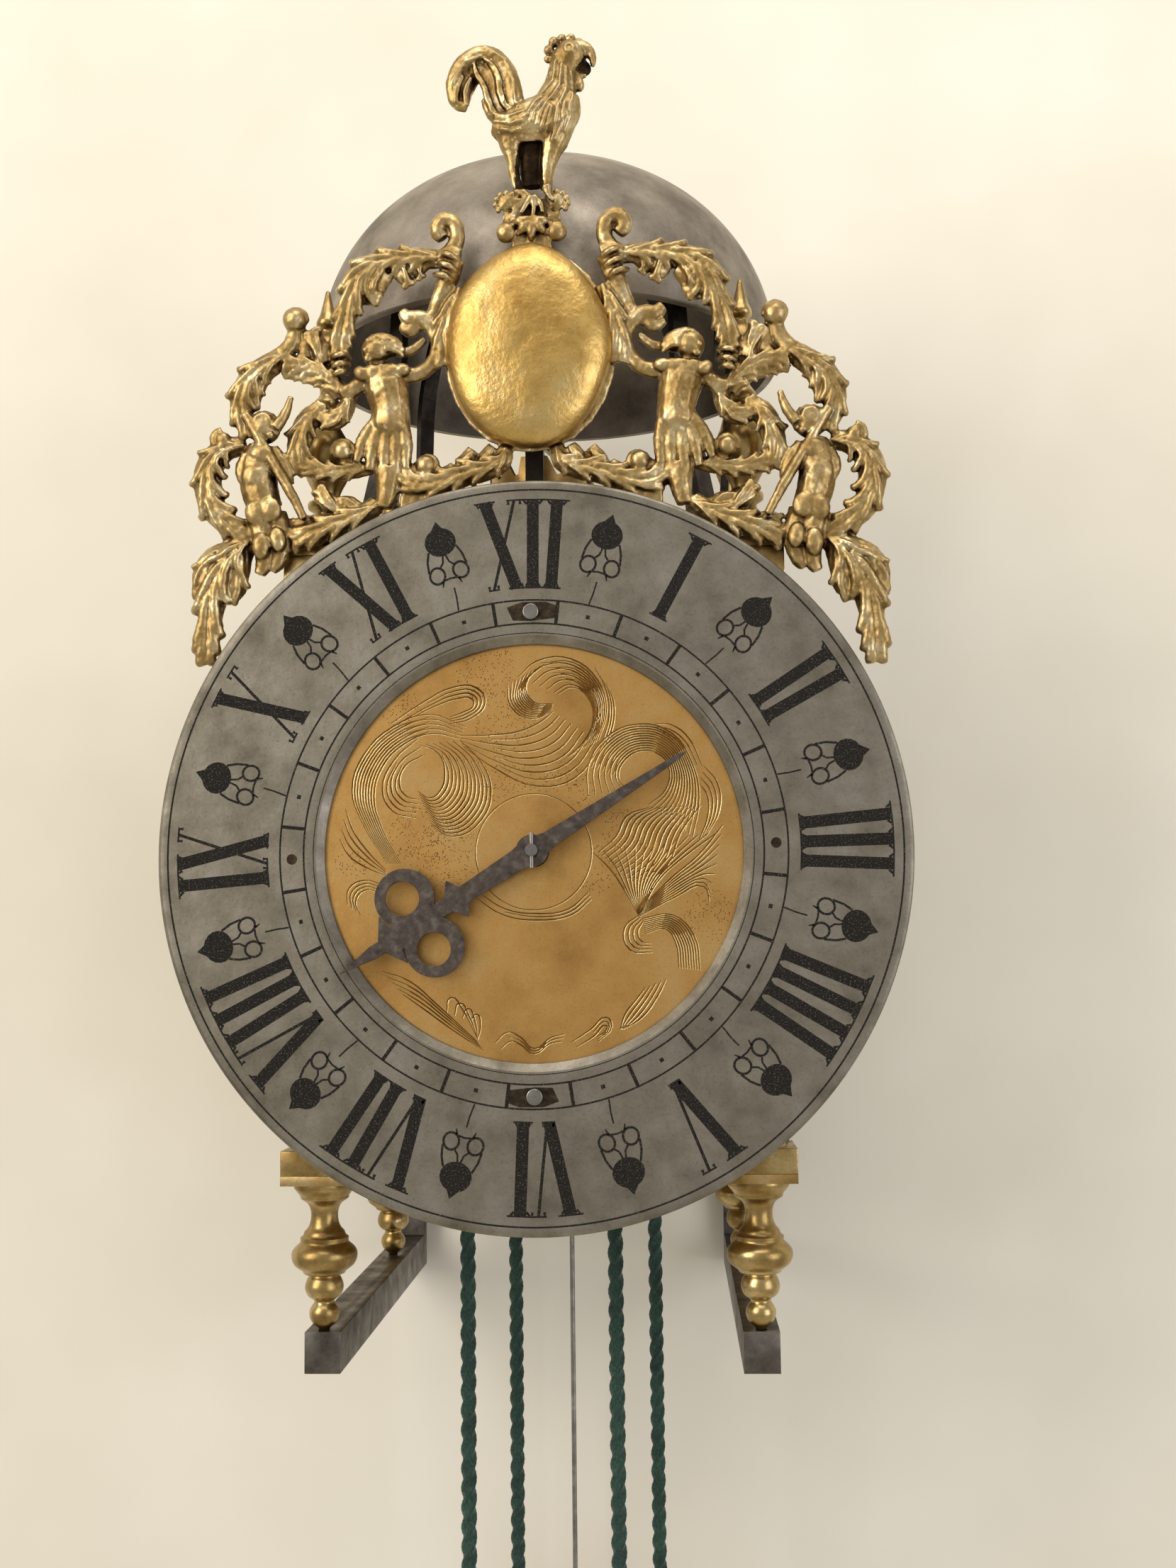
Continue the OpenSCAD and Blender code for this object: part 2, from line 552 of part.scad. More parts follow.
// Outline of the shield, an oval that narrows to the top
shield_w = 27.3;
shield_up = 34.5;
shield_z = top_z + 64;
function shield_outline(grow, z) = [for (a = [0 : 9 : 351])
  [(shield_w + grow) * cos(a) * (1 - 0.1 * max(sin(a), 0) - 0.1 * pow(sin(a), 4)),
    z + (shield_up + grow) * sin(a)]];

// Domed shield in the middle of the fret
module cartouche() {
  dome = 70;
  color(gilt) intersection() {
    upright(fret_y - boss_h - 1, boss_h + 1) polygon(shield_outline(0, shield_z));
    translate([0, fret_y - boss_h + dome, shield_z]) sphere(r = dome, $fn = 96);
  }
}

// Side outline of the standing cockerel, clockwise from the tip of the tail
cockerel_outline = [[-19.5, 352], [-23, 353.5], [-26, 358], [-26.6, 364], [-24, 370.5], [-19.5, 375],
  [-14, 376.2], [-8.5, 373.5], [-5, 368], [-3.6, 361], [-2.3, 354.6], [1.5, 354.8], [6, 359], [7, 364],
  [5.8, 369], [6, 374], [9, 377.6], [12.5, 378.6], [17, 376], [20.5, 372.5], [21.2, 369], [19.8, 364.4],
  [16.4, 362.5], [16.6, 359], [15.6, 356.5], [16.4, 351], [16, 346], [12.5, 341], [10.4, 336], [8.6, 329],
  [8.4, 325], [-1, 325], [-5.2, 327], [-5.4, 332], [-5.2, 338], [-10, 342], [-13, 346.5], [-14.2, 352.5],
  [-13.4, 358], [-15.4, 363], [-16.6, 358], [-17, 354]];

// Cockerel on its leafy perch, with a tang down behind the shield
module cockerel() {
  color(gilt) translate([0, 0, ornament_up]) {
    upright(fret_y - 1.5, 5.5) polygon(cockerel_outline);
    for (p = [[4, 348, 7.4], [9, 353, 6.2], [-4, 347, 5.6], [12, 370, 5.4], [10, 362, 4.6]])
      translate([p[0], fret_y + 1.2, p[1]]) sphere(r = p[2]);
    for (p = [[-1.5, 333, 2.2], [5, 333, 2.6]]) rod_z(p[0], fret_y + 1.2, 324, 340, p[2]);
    upright(fret_y - 2.5, fret_t + 2.5) offset(delta = 0.1) perch();
    translate([-5.5, fret_y, 296.1]) cube([13, fret_t, 12]);
  }
}

// Outline of the perch: two leaf lobes each side of a flower
module perch() {
  translate([1, 314]) circle(r = 6);
  for (s = [-1, 1]) {
    limb([[1, 312, 4], [1 + s * 6, 310, 4], [1 + s * 8.5, 308, 3.2]]);
    limb([[1, 316, 4], [1 + s * 6, 319, 4.6], [1 + s * 8.6, 321, 3.6]]);
  }
  translate([-6, 306]) square([14, 6]);
  translate([-5, 320]) square([14, 6]);
}

// Half profile of the bell's outside, from the mouth to the crown
bell_power = 2.15;
function bell_curve(r, h, flat) = [for (k = [0 : 20]) let (a = 90 * k / 20,
  x = r * pow(cos(a), 2 / bell_power), z = h * pow(sin(a), 2 / bell_power)) [max(x, flat), z]];

module bell() {
  inner_h = bell_h - bell_t - 0.5;
  color(bell_metal) difference() {
    translate([0, bell_y, bell_z]) rotate_extrude($fn = 120) polygon(concat(
      [for (p = bell_curve(bell_r, bell_h, bell_flat)) p],
      [[stud_r + 0.2, bell_h], [stud_r + 0.2, inner_h]],
      [for (k = [20 : -1 : 0]) bell_curve(bell_r - bell_t, inner_h, bell_flat + 1)[k]]));
  }
}

// Four strap arms from the pillars to the boss that carries the bell
module bell_stand() {
  boss_z = bell_z + bell_h - bell_t - 0.5;
  color(iron) difference() {
    union() {
      for (c = corners) {
        reach = norm([c[0], c[1] - bell_y]);
        translate([0, bell_y, 0]) rotate([0, 0, atan2(c[1] - bell_y, c[0])]) translate([0, 3.5, 0])
          rotate([90, 0, 0]) linear_extrude(7) strap(reach, boss_z);
        rod_z(c[0], c[1], top_z, top_z + lug_t, 8.5);
      }
      rod_z(0, bell_y, boss_z - 12, boss_z, 9);
      rod_z(0, bell_y, boss_z - 1, boss_z + bell_t + 9, stud_r);
    }
    for (c = corners) rod_z(c[0], c[1], top_z - 1, top_z + lug_t + 1, tenon_r + pivot_gap);
  }
}

// Side view of one strap arm, as distance from the bell's axis and height
module strap(reach, boss_z) {
  translate([reach - 14, top_z]) square([10, lug_t]);
  limb([[reach - 13, top_z + 1.5, 1.4], [reach - 17, top_z + 14, 1.3], [min(bell_r - 13, reach - 20.5), bell_z - 22, 1.3],
    [min(bell_r - 15, reach - 21), bell_z + 8, 1.3], [bell_r - 25, bell_z + 36, 1.3], [bell_r - 45, bell_z + 56, 1.3],
    [bell_r - 66, bell_z + 63.5, 1.4], [4, bell_z + 65, 1.4]]);
}

module bell_nut() {
  z = bell_z + bell_h;
  color(brass) difference() {
    translate([0, bell_y, z]) rotate_extrude()
      polygon([[0, 0], [7, 0], [7, 1.2], [5, 2], [5, 5], [6, 6], [5, 8.5], [2.5, 10], [0, 10.3]]);
    rod_z(0, bell_y, z - 1, z + 8.8, stud_r + pivot_gap);
  }
}

// Middle of a movement bar, left to right
function strip_x(y) = y == front_strip ? -1 : y == middle_strip ? 3 : 6;

// Flat bar from plate to plate, with tenons and with side arms for the lever arbors
module strip(y, left, right, low) {
  x = strip_x(y);
  h = top_z - 2 * plate_t;
  translate([x - strip_w / 2, y, plate_t]) cube([strip_w, strip_t, h]);
  translate([x - 5, y, 0]) cube([10, strip_t, top_z]);
  if (left > 0) translate([-left, y, low]) cube([left + x, strip_t, arm_z + 27 - low]);
  if (right > 0) translate([x, y, arm_z - 6]) cube([right - x, strip_t, 12]);
}

module pivot_hole(x, z, y, r = pivot_r) {
  rod_y(x, z, y - 1, y + strip_t + 1, r + pivot_gap);
}

module front_bar() {
  y = front_strip;
  color(iron) difference() {
    strip(y, 50, 0, arm_z - 12);
    pivot_hole(going_x, great_z, y, arbor_r);
    pivot_hole(0, second_z, y);
    pivot_hole(0, contrate_z, y);
    pivot_hole(0, dial_z, y, arbor_r);
    pivot_hole(detent_x, lifting_z, y, arbor_r);
  }
}

module middle_bar() {
  y = middle_strip;
  color(iron) difference() {
    strip(y, 50, 64, arm_z - 12);
    pivot_hole(going_x, great_z, y);
    pivot_hole(0, second_z, y);
    pivot_hole(0, contrate_z, y);
    pivot_hole(detent_x, lifting_z, y);
    pivot_hole(strike_x, great_z, y);
    pivot_hole(strike_x, hoop_z, y);
    pivot_hole(strike_x, warning_z, y);
    pivot_hole(strike_x, fly_z, y);
    pivot_hole(hammer_x, arm_z, y);
    pivot_hole(detent_x, detent_z, y);
  }
}

// Rear bar with the stud that the count wheel turns on
module rear_bar() {
  y = rear_strip;
  color(iron) {
    difference() {
      strip(y, 50, 64, arm_z + 8);
      pivot_hole(strike_x, great_z, y, arbor_r);
      pivot_hole(strike_x, hoop_z, y);
      pivot_hole(strike_x, warning_z, y);
      pivot_hole(strike_x, fly_z, y);
      pivot_hole(hammer_x, arm_z, y);
      pivot_hole(detent_x, detent_z, y, arbor_r);
    }
    rod_y(strike_x, count_z, y + strip_t - 1, count_y + 6, arbor_r);
  }
}

// Potence and cock of the crown wheel, and the two cocks of the verge
module escapement_cocks() {
  potence_z = contrate_z + 8;
  cock_z = top_z + 13;
  color(iron) {
    difference() {
      translate([-4, front_strip + strip_t, potence_z]) cube([8, crown_y + 3 - front_strip - strip_t, 4]);
      rod_z(0, crown_y, potence_z + 1, potence_z + 5, pivot_r + pivot_gap);
    }
    difference() {
      union() {
        translate([10, crown_y - 5, top_z]) cube([10, 10, 3]);
        translate([10, crown_y - 4, top_z]) cube([4, 8, cock_z + 3 - top_z]);
        translate([-4, crown_y - 4, cock_z]) cube([18, 8, 3]);
      }
      rod_z(0, crown_y, cock_z - 1, cock_z + 4, 1.5 + pivot_gap);
    }
    for (y = [verge_front, plate_rear - 4]) difference() {
      union() {
        translate([-3, y, top_z]) cube([6, 3, verge_z + 4 - top_z]);
        translate([-4, y == verge_front ? y : y - 7, top_z]) cube([8, 10, 3]);
      }
      rod_y(0, verge_z, y - 1, y + 4, verge_r + pivot_gap);
    }
  }
}

// Stud that carries the hour wheel, with a cross hole for the hand's pin
module hour_stud() {
  color(steel) difference() {
    rod_y(0, dial_z, dial_y - 6, front_strip + strip_t, arbor_r - 0.02);
    rod_z(0, dial_y - 4.6, dial_z - 5, dial_z + 5, 0.75);
  }
}

module hand_pin() {
  color(steel) rod_z(0, dial_y - 4.6, dial_z - 5.5, dial_z + 5.5, 0.7);
}

// Leaf spring on the bottom plate that returns the hammer
module hammer_spring() {
  color(steel) {
    translate([hammer_x - 12, strike_y - 9, plate_t]) cube([12, 6, 3]);
    upright(strike_y - 8.2, 2.6) limb([[hammer_x - 6, plate_t + 2, 1], [hammer_x - 7, 30, 0.9],
      [hammer_x - 8, 55, 0.8], [hammer_x - 10.5, 78, 0.7]]);
  }
}

// Rope tube along a list of points, with rings of eight sides square to its way
function ring(p, d, r) = let (u = cross(d, [0, 1, 0]), n = u / norm(u), b = [0, 1, 0])
  [for (a = [22.5 : 45 : 337.5]) p + r * (n * cos(a) + b * sin(a))];
function ways(p) = let (n = len(p) - 1) [for (i = [0 : n])
  i == 0 ? [0, 0, p[1][2] - p[0][2]] : i == n ? [0, 0, -1] : p[i + 1] - p[i - 1]];

module tube(p, r) {
  w = ways(p);
  pts = [for (i = [0 : len(p) - 1]) each ring(p[i], w[i], r)];
  n = len(p);
  faces = concat([[for (k = [7 : -1 : 0]) k]], [[for (k = [0 : 7]) (n - 1) * 8 + k]],
    [for (i = [0 : n - 2], k = [0 : 7]) let (a = i * 8 + k, b = i * 8 + (k + 1) % 8) [a, b, b + 8]],
    [for (i = [0 : n - 2], k = [0 : 7]) let (a = i * 8 + k, b = i * 8 + (k + 1) % 8) [a, b + 8, a + 8]]);
  polyhedron(pts, faces);
}

// Route of a strand straight down from the side of its pulley
function strand(x, y, z_end) = [for (k = [0 : 12]) [x, y, great_z + (z_end - great_z) * k / 12]];

// Route of a rope over its pulley and down on the right side
function over(x, y, r, z_end) = concat(
  [for (a = [180 : -15 : 15]) [x + r * cos(a), y, great_z + r * sin(a)]],
  strand(x + r, y, z_end));

module rope_going_left() {
  color(rope_green) tube(strand(going_x - going_rope_r, going_rope_y, going_end_z), rope_r);
}
module rope_going_right() {
  color(rope_green) tube(over(going_x, going_rope_y, going_rope_r, going_end_z), rope_r);
}
module rope_strike_left() {
  color(rope_green) tube(strand(strike_x - strike_rope_r, strike_rope_y, strike_end_z), rope_r);
}
module rope_strike_right() {
  color(rope_green) tube(over(strike_x, strike_rope_y, strike_rope_r, strike_end_z), rope_r);
}

// Iron hook below a rope, with a socket that the rope ends in
module hook(x, y, z) {
  rod_z(x, y, z - 7, z, rope_r + 0.8);
  rod_z(x, y, z - 12, z - 6, 1.3);
  translate([x, y, z - 18]) rotate([90, 0, 0]) rotate_extrude(angle = 290, $fn = 32)
    translate([6, 0]) circle(r = 1.3, $fn = 16);
}

module weight_hooks() {
  color(iron) {
    hook(going_x + going_rope_r, going_rope_y, going_end_z);
    hook(strike_x - strike_rope_r, strike_rope_y, strike_end_z);
  }
}

// Small ring weights that keep the slack strands tight
module rope_ring(x, y, z) {
  rod_z(x, y, z - 6, z, rope_r + 0.8);
  translate([x, y, z - 6 - 8]) rotate([90, 0, 0]) rotate_extrude($fn = 32)
    translate([7, 0]) circle(r = 2.2, $fn = 16);
}

module rope_rings() {
  color(pewter) {
    rope_ring(going_x - going_rope_r, going_rope_y, going_end_z);
    rope_ring(strike_x + strike_rope_r, strike_rope_y, strike_end_z);
  }
}

// Hinged sheet door with pins in the plates, a barrel and a small knob
door_x = plate_x - 3;
door_y = rear_y - block_w / 2 - 4;
door_front = front_y + block_w / 2 + 1;
module door(side) {
  x = side * door_x;
  color(brass) {
    translate([x - (side < 0 ? 2 : -0.8), door_front, plate_t + 1])
      cube([1.2, door_y + 2.4 - door_front, top_z - 2 * plate_t - 2]);
    rod_z(x, door_y, plate_t + 1, top_z - plate_t - 1, 2.2);
    rod_z(x, door_y, 0.5, top_z - 0.5, 1.5);
    translate([x + side * 1.9, door_front + 8, arm_z]) rotate([0, side * 90, 0]) rotate_extrude()
      polygon([[0, 0], [2.5, 0], [1.5, 1.5], [1.5, 3], [3.2, 5], [2.8, 7], [0, 8]]);
  }
}

// Great wheel of the going train, its arbor and the pinion of the hour wheel
module great_wheel() {
  x = going_x;
  up = mesh_angle(x, great_z, 0, second_z);
  to_hour = mesh_angle(x, great_z, 0, dial_z);
  color(brass) difference() {
    gear_y(x, great_z, great_y, great_y + 2.5, great_n, great_m, tooth_at(up));
    spoke_windows(x, great_z, great_y, great_y + 2.5, 10, 29, 4);
    rod_y(x, great_z, great_y - 1, great_y + 4, arbor_r + 1);
  }
  color(steel) {
    rod_y(x, great_z, hour_y - 1.4, hour_y + 3, 1.5);
    rod_y(x, great_z, hour_y + 2.5, middle_strip - 0.5, arbor_r);
    rod_y(x, great_z, middle_strip - 1, middle_strip + strip_t, pivot_r);
    rod_y(x, great_z, great_y - 0.5, great_y + 4.5, arbor_r + 1.5);
    gear_y(x, great_z, hour_y - 0.6, hour_y + 2.6, hour_pn, hour_m, tooth_at(to_hour));
  }
}

// Rope pulley with a deep groove
module pulley(x, y, rope_at) {
  r = rope_at - rope_r - 0.5;
  color(brass) translate([x, y + 5.5, great_z]) rotate([90, 0, 0]) rotate_extrude($fn = 96)
    polygon([[6, 0], [r + 5.5, 0], [r + 6, 0.4], [r + 5.8, 1], [r, 3.2], [r - 0.4, 5.5], [r, 7.8],
      [r + 5.8, 10], [r + 6, 10.6], [r + 5.5, 11], [6, 11]]);
}

module going_pulley() {
  pulley(going_x, going_rope_y, going_rope_r);
  color(brass) difference() {
    rod_y(going_x, great_z, going_rope_y - 5.5, great_y - 0.6, 7);
    rod_y(going_x, great_z, going_rope_y - 7, great_y + 1, arbor_r + pivot_gap);
  }
}

// Wheel and pinion on one arbor between two bars
module train_wheel(x, z, y, t, n, m, turn, py0, py1, pn, pm, pturn, y0, y1) {
  color(brass) difference() {
    gear_y(x, z, y, y + t, n, m, turn);
    spoke_windows(x, z, y, y + t, 6.5, n * m / 2 - 3.6, 4);
  }
  color(steel) {
    gear_y(x, z, py0, py1, pn, pm, pturn);
    rod_y(x, z, y0 + strip_t + 0.3, y1 - 0.3, arbor_r - 0.2);
    rod_y(x, z, y0 + 0.4, y1 + strip_t - 0.4, pivot_r);
    rod_y(x, z, y - 1.5, y + t + 1.5, arbor_r + 1.5);
  }
}

module second_wheel() {
  from = mesh_angle(going_x, great_z, 0, second_z);
  train_wheel(0, second_z, second_y, 2, second_n, second_m, tooth_at(90),
    great_y - 1, great_y + 3.5, second_pn, great_m, gap_at(from, second_pn), front_strip, middle_strip);
}

// Contrate wheel: its teeth stand forward from the rim
module contrate_wheel() {
  r = contrate_n * contrate_m / 2;
  y = contrate_y;
  color(brass) {
    difference() {
      rod_y(0, contrate_z, y, y + 2, r + 1.25, $fn = 96);
      spoke_windows(0, contrate_z, y, y + 2, 6.5, r - 3, 4);
    }
    for (i = [0 : contrate_n - 1]) translate([0, 0, contrate_z]) rotate([0, -i * 360 / contrate_n, 0])
      translate([-0.62, contrate_tip, r - 1.25]) cube([1.24, contrate_tooth + 0.4, 2.5]);
  }
  color(steel) {
    gear_y(0, contrate_z, second_y - 1, second_y + 3, contrate_pn, second_m, gap_at(90, contrate_pn));
    rod_y(0, contrate_z, front_strip + strip_t + 0.3, middle_strip - 0.3, arbor_r - 0.2);
    rod_y(0, contrate_z, front_strip + 0.4, middle_strip + strip_t - 0.4, pivot_r);
    rod_y(0, contrate_z, y - 2, y + 3.5, arbor_r + 1.5);
  }
}

// Crown wheel with saw teeth that point up, on an upright arbor
module crown_wheel() {
  wheel_z = crown_tip - 10.5;
  pitch = 2 * PI * crown_r / crown_n;
  pinion_z = contrate_z + contrate_n * contrate_m / 2;
  color(brass) difference() {
    rod_z(0, crown_y, wheel_z, crown_tip, crown_r, $fn = 96);
    rod_z(0, crown_y, wheel_z + 2, crown_tip + 1, crown_r - 1.6, $fn = 96);
    for (i = [0 : crown_n - 1]) translate([0, crown_y, 0]) rotate([0, 0, i * 360 / crown_n])
      rotate([90, 0, 90]) translate([0, 0, 5]) linear_extrude(crown_r)
        polygon([[-0.42 * pitch, crown_tip + 1], [0.44 * pitch, crown_tip + 1], [0.44 * pitch, crown_tip - 0.4],
          [0.3 * pitch, crown_tip - 6], [0.1 * pitch, crown_tip - 6.4]]);
    for (i = [0 : 3]) translate([0, crown_y, wheel_z - 1]) rotate([0, 0, i * 90 + 45]) translate([9.5, 0, 0])
      cylinder(h = 4, r = 4.6);
  }
  color(steel) {
    translate([0, crown_y, pinion_z - 4]) linear_extrude(8) polygon(gear_outline(crown_pn, contrate_m, 90 + 180 / crown_pn));
    rod_z(0, crown_y, contrate_z + 12.3, wheel_z + 1, 1.5);
    rod_z(0, crown_y, contrate_z + 9.2, contrate_z + 13, pivot_r);
    rod_z(0, crown_y, wheel_z - 2, wheel_z + 3.5, 3);
  }
}

// Hour wheel with its pipe over the stud and the star that lifts the strike
module hour_wheel() {
  from = mesh_angle(going_x, great_z, 0, dial_z);
  pipe_end = dial_y - 1.2;
  color(brass) difference() {
    union() {
      difference() {
        gear_y(0, dial_z, hour_y, hour_y + 2, hour_n, hour_m, gap_at(from, hour_n));
        spoke_windows(0, dial_z, hour_y, hour_y + 2, 15, 25, 4);
      }
      rod_y(0, dial_z, pipe_end, hour_y + 1, 4);
      upright(hour_y + 2 - eps, 1.5) translate([0, dial_z])
        polygon([for (i = [0 : 11], k = [0, 1]) let (a = 30 * i + 15 * k) (k == 0 ? 12 : 8) * [cos(a), sin(a)]]);
    }
    rod_y(0, dial_z, pipe_end - 1, hour_y + 5, arbor_r + pivot_gap);
  }
}

// Hour hand in its own plane: u along the pointing end, v across it
module hand_shape() {
  difference() {
    offset(delta = 0.1) {
      polygon([[-tail_l, 0], [-tail_l + 3, 0.7], [-6, 2.7], [0, 4.2], [6, 3.3], [28, 2.6],
        [hand_l - 18, 1.9], [hand_l - 12, 2], [hand_l, 0],
        [hand_l - 12, -2], [hand_l - 18, -1.9], [28, -2.6], [6, -3.3], [0, -4.2], [-6, -2.7], [-tail_l + 3, -0.7]]);
      circle(r = 5);
      for (s = [0, 1]) mirror([0, s]) {
        polygon([[25, 2.2], [28, 6.6], [31.5, 2]]);
        translate([42, 9]) circle(r = 9.4);
        polygon([[48, 5], [56, 1.6], [44, -1], [34, 2]]);
        polygon([[hand_l - 15, 1.5], [hand_l - 19.5, 8.4], [hand_l - 21, 1.5]]);
      }
    }
    for (s = [0, 1]) mirror([0, s]) translate([42.6, 9.4]) circle(r = 5.4);
    circle(r = arbor_r + pivot_gap);
  }
}

module hour_hand() {
  y = dial_y - 1.2 - hand_t;
  color(iron) translate([0, 0, dial_z]) rotate([0, hand_a - 90, 0]) upright(y, hand_t) hand_shape();
}

// Verge with two pallets over the crown wheel and the pendulum rod on its rear end
module verge() {
  color(steel) {
    rod_y(0, verge_z, verge_front + 0.5, pendulum_y + 3, verge_r);
    for (s = [-1, 1]) translate([0, crown_y + s * (crown_r - 1) - 3, verge_z]) rotate([0, s * 50, 0])
      translate([-0.6, 0, -pallet_r]) cube([1.2, 6, pallet_r]);
    translate([-2.5, pendulum_y - 2, verge_z - 4]) cube([5, 4, 8]);
    rod_z(0, pendulum_y, verge_z - pendulum_l - bob_d / 2 - 8, verge_z - 3, 1);
  }
}

// Lens-shaped bob with a rating nut below it
module pendulum_bob() {
  z = verge_z - pendulum_l;
  r = bob_d / 2;
  color(brass) difference() {
    union() {
      translate([0, pendulum_y, z]) rotate([90, 0, 0]) rotate_extrude($fn = 72)
        polygon([[0, -7], [r * 0.4, -6.4], [r * 0.75, -4.4], [r, -1], [r, 1], [r * 0.75, 4.4], [r * 0.4, 6.4], [0, 7]]);
      rod_z(0, pendulum_y, z - r - 4, z - r - 1.5, 4);
      rod_z(0, pendulum_y, z - r - 2, z - r + 2, 2.4);
    }
    rod_z(0, pendulum_y, z - r - 5, z + r + 1, 1 + pivot_gap);
  }
}

// Great wheel of the striking train with its lifting pins and the count wheel's pinion
module strike_great_wheel() {
  x = strike_x;
  to_count = mesh_angle(x, great_z, x, count_z);
  color(brass) difference() {
    gear_y(x, great_z, strike_y, strike_y + 2.5, strike_n, strike_m, tooth_at(90));
    spoke_windows(x, great_z, strike_y, strike_y + 2.5, 10, 25, 4);
    rod_y(x, great_z, strike_y - 1, strike_y + 4, arbor_r + 1);
  }
  color(steel) {
    for (i = [0 : 11]) rod_y(x + pin_circle * cos(30 * i + 15), great_z + pin_circle * sin(30 * i + 15),
      strike_y - 5, strike_y + 1, 1.2);
    rod_y(x, great_z, middle_strip + strip_t + 0.3, count_y + 1.8, arbor_r);
    rod_y(x, great_z, middle_strip + 0.4, middle_strip + strip_t + 1, pivot_r);
    rod_y(x, great_z, strike_y - 2, strike_y + 4.5, arbor_r + 1.5);
    gear_y(x, great_z, count_y - 1, count_y + 1.8, count_pn, count_m, tooth_at(to_count));
  }
}

module strike_pulley() {
  pulley(strike_x, strike_rope_y, strike_rope_r);
  color(brass) difference() {
    rod_y(strike_x, great_z, strike_y + 5, strike_rope_y + 5.5, 7);
    rod_y(strike_x, great_z, strike_y + 4, strike_rope_y + 7, arbor_r + pivot_gap);
  }
}

// Hoop wheel with the notched hoop that the detent locks
module hoop_wheel() {
  train_wheel(strike_x, hoop_z, hoop_y, 2, hoop_n, hoop_m, tooth_at(90),
    strike_y - 1, strike_y + 3.5, hoop_pn, strike_m, gap_at(90, hoop_pn), middle_strip, rear_strip);
  color(brass) difference() {
    rod_y(strike_x, hoop_z, hoop_y + 2 - eps, hoop_y + 6, 19.6, $fn = 72);
    rod_y(strike_x, hoop_z, hoop_y + 1, hoop_y + 7, 18.2, $fn = 72);
    translate([strike_x - 24, hoop_y, hoop_z + 1]) cube([12, 9, 8]);
  }
}

module warning_wheel() {
  train_wheel(strike_x, warning_z, warning_y, 2, warning_n, warning_m, tooth_at(90),
    hoop_y - 1, hoop_y + 3, warning_pn, hoop_m, gap_at(90, warning_pn), middle_strip, rear_strip);
}

// Fly with its pinion and two flat vanes
module fly() {
  x = strike_x;
  color(steel) {
    gear_y(x, fly_z, warning_y - 1, warning_y + 3, fly_pn, warning_m, gap_at(90, fly_pn));
    rod_y(x, fly_z, middle_strip + strip_t + 0.3, rear_strip - 0.3, 1.6);
    rod_y(x, fly_z, middle_strip + 0.4, rear_strip + strip_t - 0.4, pivot_r);
  }
  color(brass) {
    translate([x - 17, fly_y, fly_z - 0.5]) cube([34, 16, 1]);
    rod_y(x, fly_z, fly_y, fly_y + 16, 2.6);
  }
}

// Count wheel: a toothed wheel with a notched plate, one notch before each hour
strikes_before = [for (h = [1 : 12]) h * (h + 1) / 2];
module count_wheel() {
  color(brass) difference() {
    union() {
      gear_y(strike_x, count_z, count_y, count_y + 1.5, count_n, count_m, gap_at(90, count_n));
      rod_y(strike_x, count_z, count_y + 1.4, count_y + 2.3, 8);
      rod_y(strike_x, count_z, count_y + 2.2, count_y + 3.7, 27, $fn = 72);
    }
    for (s = strikes_before) translate([strike_x, count_y + 2, count_z]) rotate([0, 180 - s * 360 / 78, 0])
      translate([23, 0.1, -1.3]) cube([6, 3, 2.6]);
    rod_y(strike_x, count_z, count_y - 1, count_y + 5, arbor_r + pivot_gap);
  }
}

// Hammer with its arbor, tail, stem and head
hammer_top = bell_z + 11;
module hammer() {
  x = hammer_x;
  color(iron) {
    rod_y(x, arm_z, middle_strip + strip_t + 0.3, rear_strip - 0.3, arbor_r + 0.2);
    rod_y(x, arm_z, middle_strip + 0.4, rear_strip + strip_t - 0.4, pivot_r);
    upright(hammer_y - 1.5, 3) limb([[x, arm_z, 3.4], [x + 2, arm_z + 40, 1.8], [x + 5, top_z, 1.6],
      [x + 9, top_z + 50, 1.5], [x + 12, hammer_top, 1.8]], 4);
    upright(strike_y - 8.2, 2.6) limb([[x, arm_z, 3.4], [x - 9, arm_z - 5, 2], [x - 18.8, arm_z - 13.4, 1.5]], 3);
    translate([x + 5.5, hammer_y, hammer_top]) rotate([0, 90, 0]) rotate_extrude()
      polygon([[0, 0], [6, 0], [7, 1], [7, 11], [5.5, 13], [4, 14], [4, hammer_face], [0, hammer_face]]);
  }
}
hammer_face = 18.6;

// Locking detent: an arbor with a finger for the hoop and one for the count wheel
module strike_detent() {
  x = detent_x;
  color(steel) {
    rod_y(x, detent_z, middle_strip + strip_t + 0.3, count_y + 5, arbor_r);
    rod_y(x, detent_z, middle_strip + 0.4, middle_strip + strip_t + 1, pivot_r);
    upright(hoop_y + 3, 2) limb([[x, detent_z, 3], [x + 14, detent_z - 1, 1.4], [x + 28.8, detent_z - 3.2, 1.2]]);
    upright(count_y + 2.2, 2) limb([[x, detent_z, 3], [x + 12, detent_z - 2, 1.4], [x + 24.5, detent_z - 7.5, 1.2]]);
  }
}

// Lifting lever: an arbor with a finger at the hour wheel's star and one at the strike
module lifting_lever() {
  x = detent_x;
  color(steel) {
    rod_y(x, lifting_z, hour_y + 1, middle_strip - 0.3, arbor_r);
    rod_y(x, lifting_z, middle_strip - 1, middle_strip + strip_t - 0.4, pivot_r);
    upright(hour_y + 4.1, 1.5) limb([[x, lifting_z, 3], [x + 16, lifting_z + 2, 1.5], [x + 30.5, lifting_z + 6, 1.2]]);
    upright(middle_strip - 8, 2.5) limb([[x, lifting_z, 3], [x + 8, lifting_z + 5, 1.6], [x + 16, lifting_z + 6, 1.3]]);
  }
}

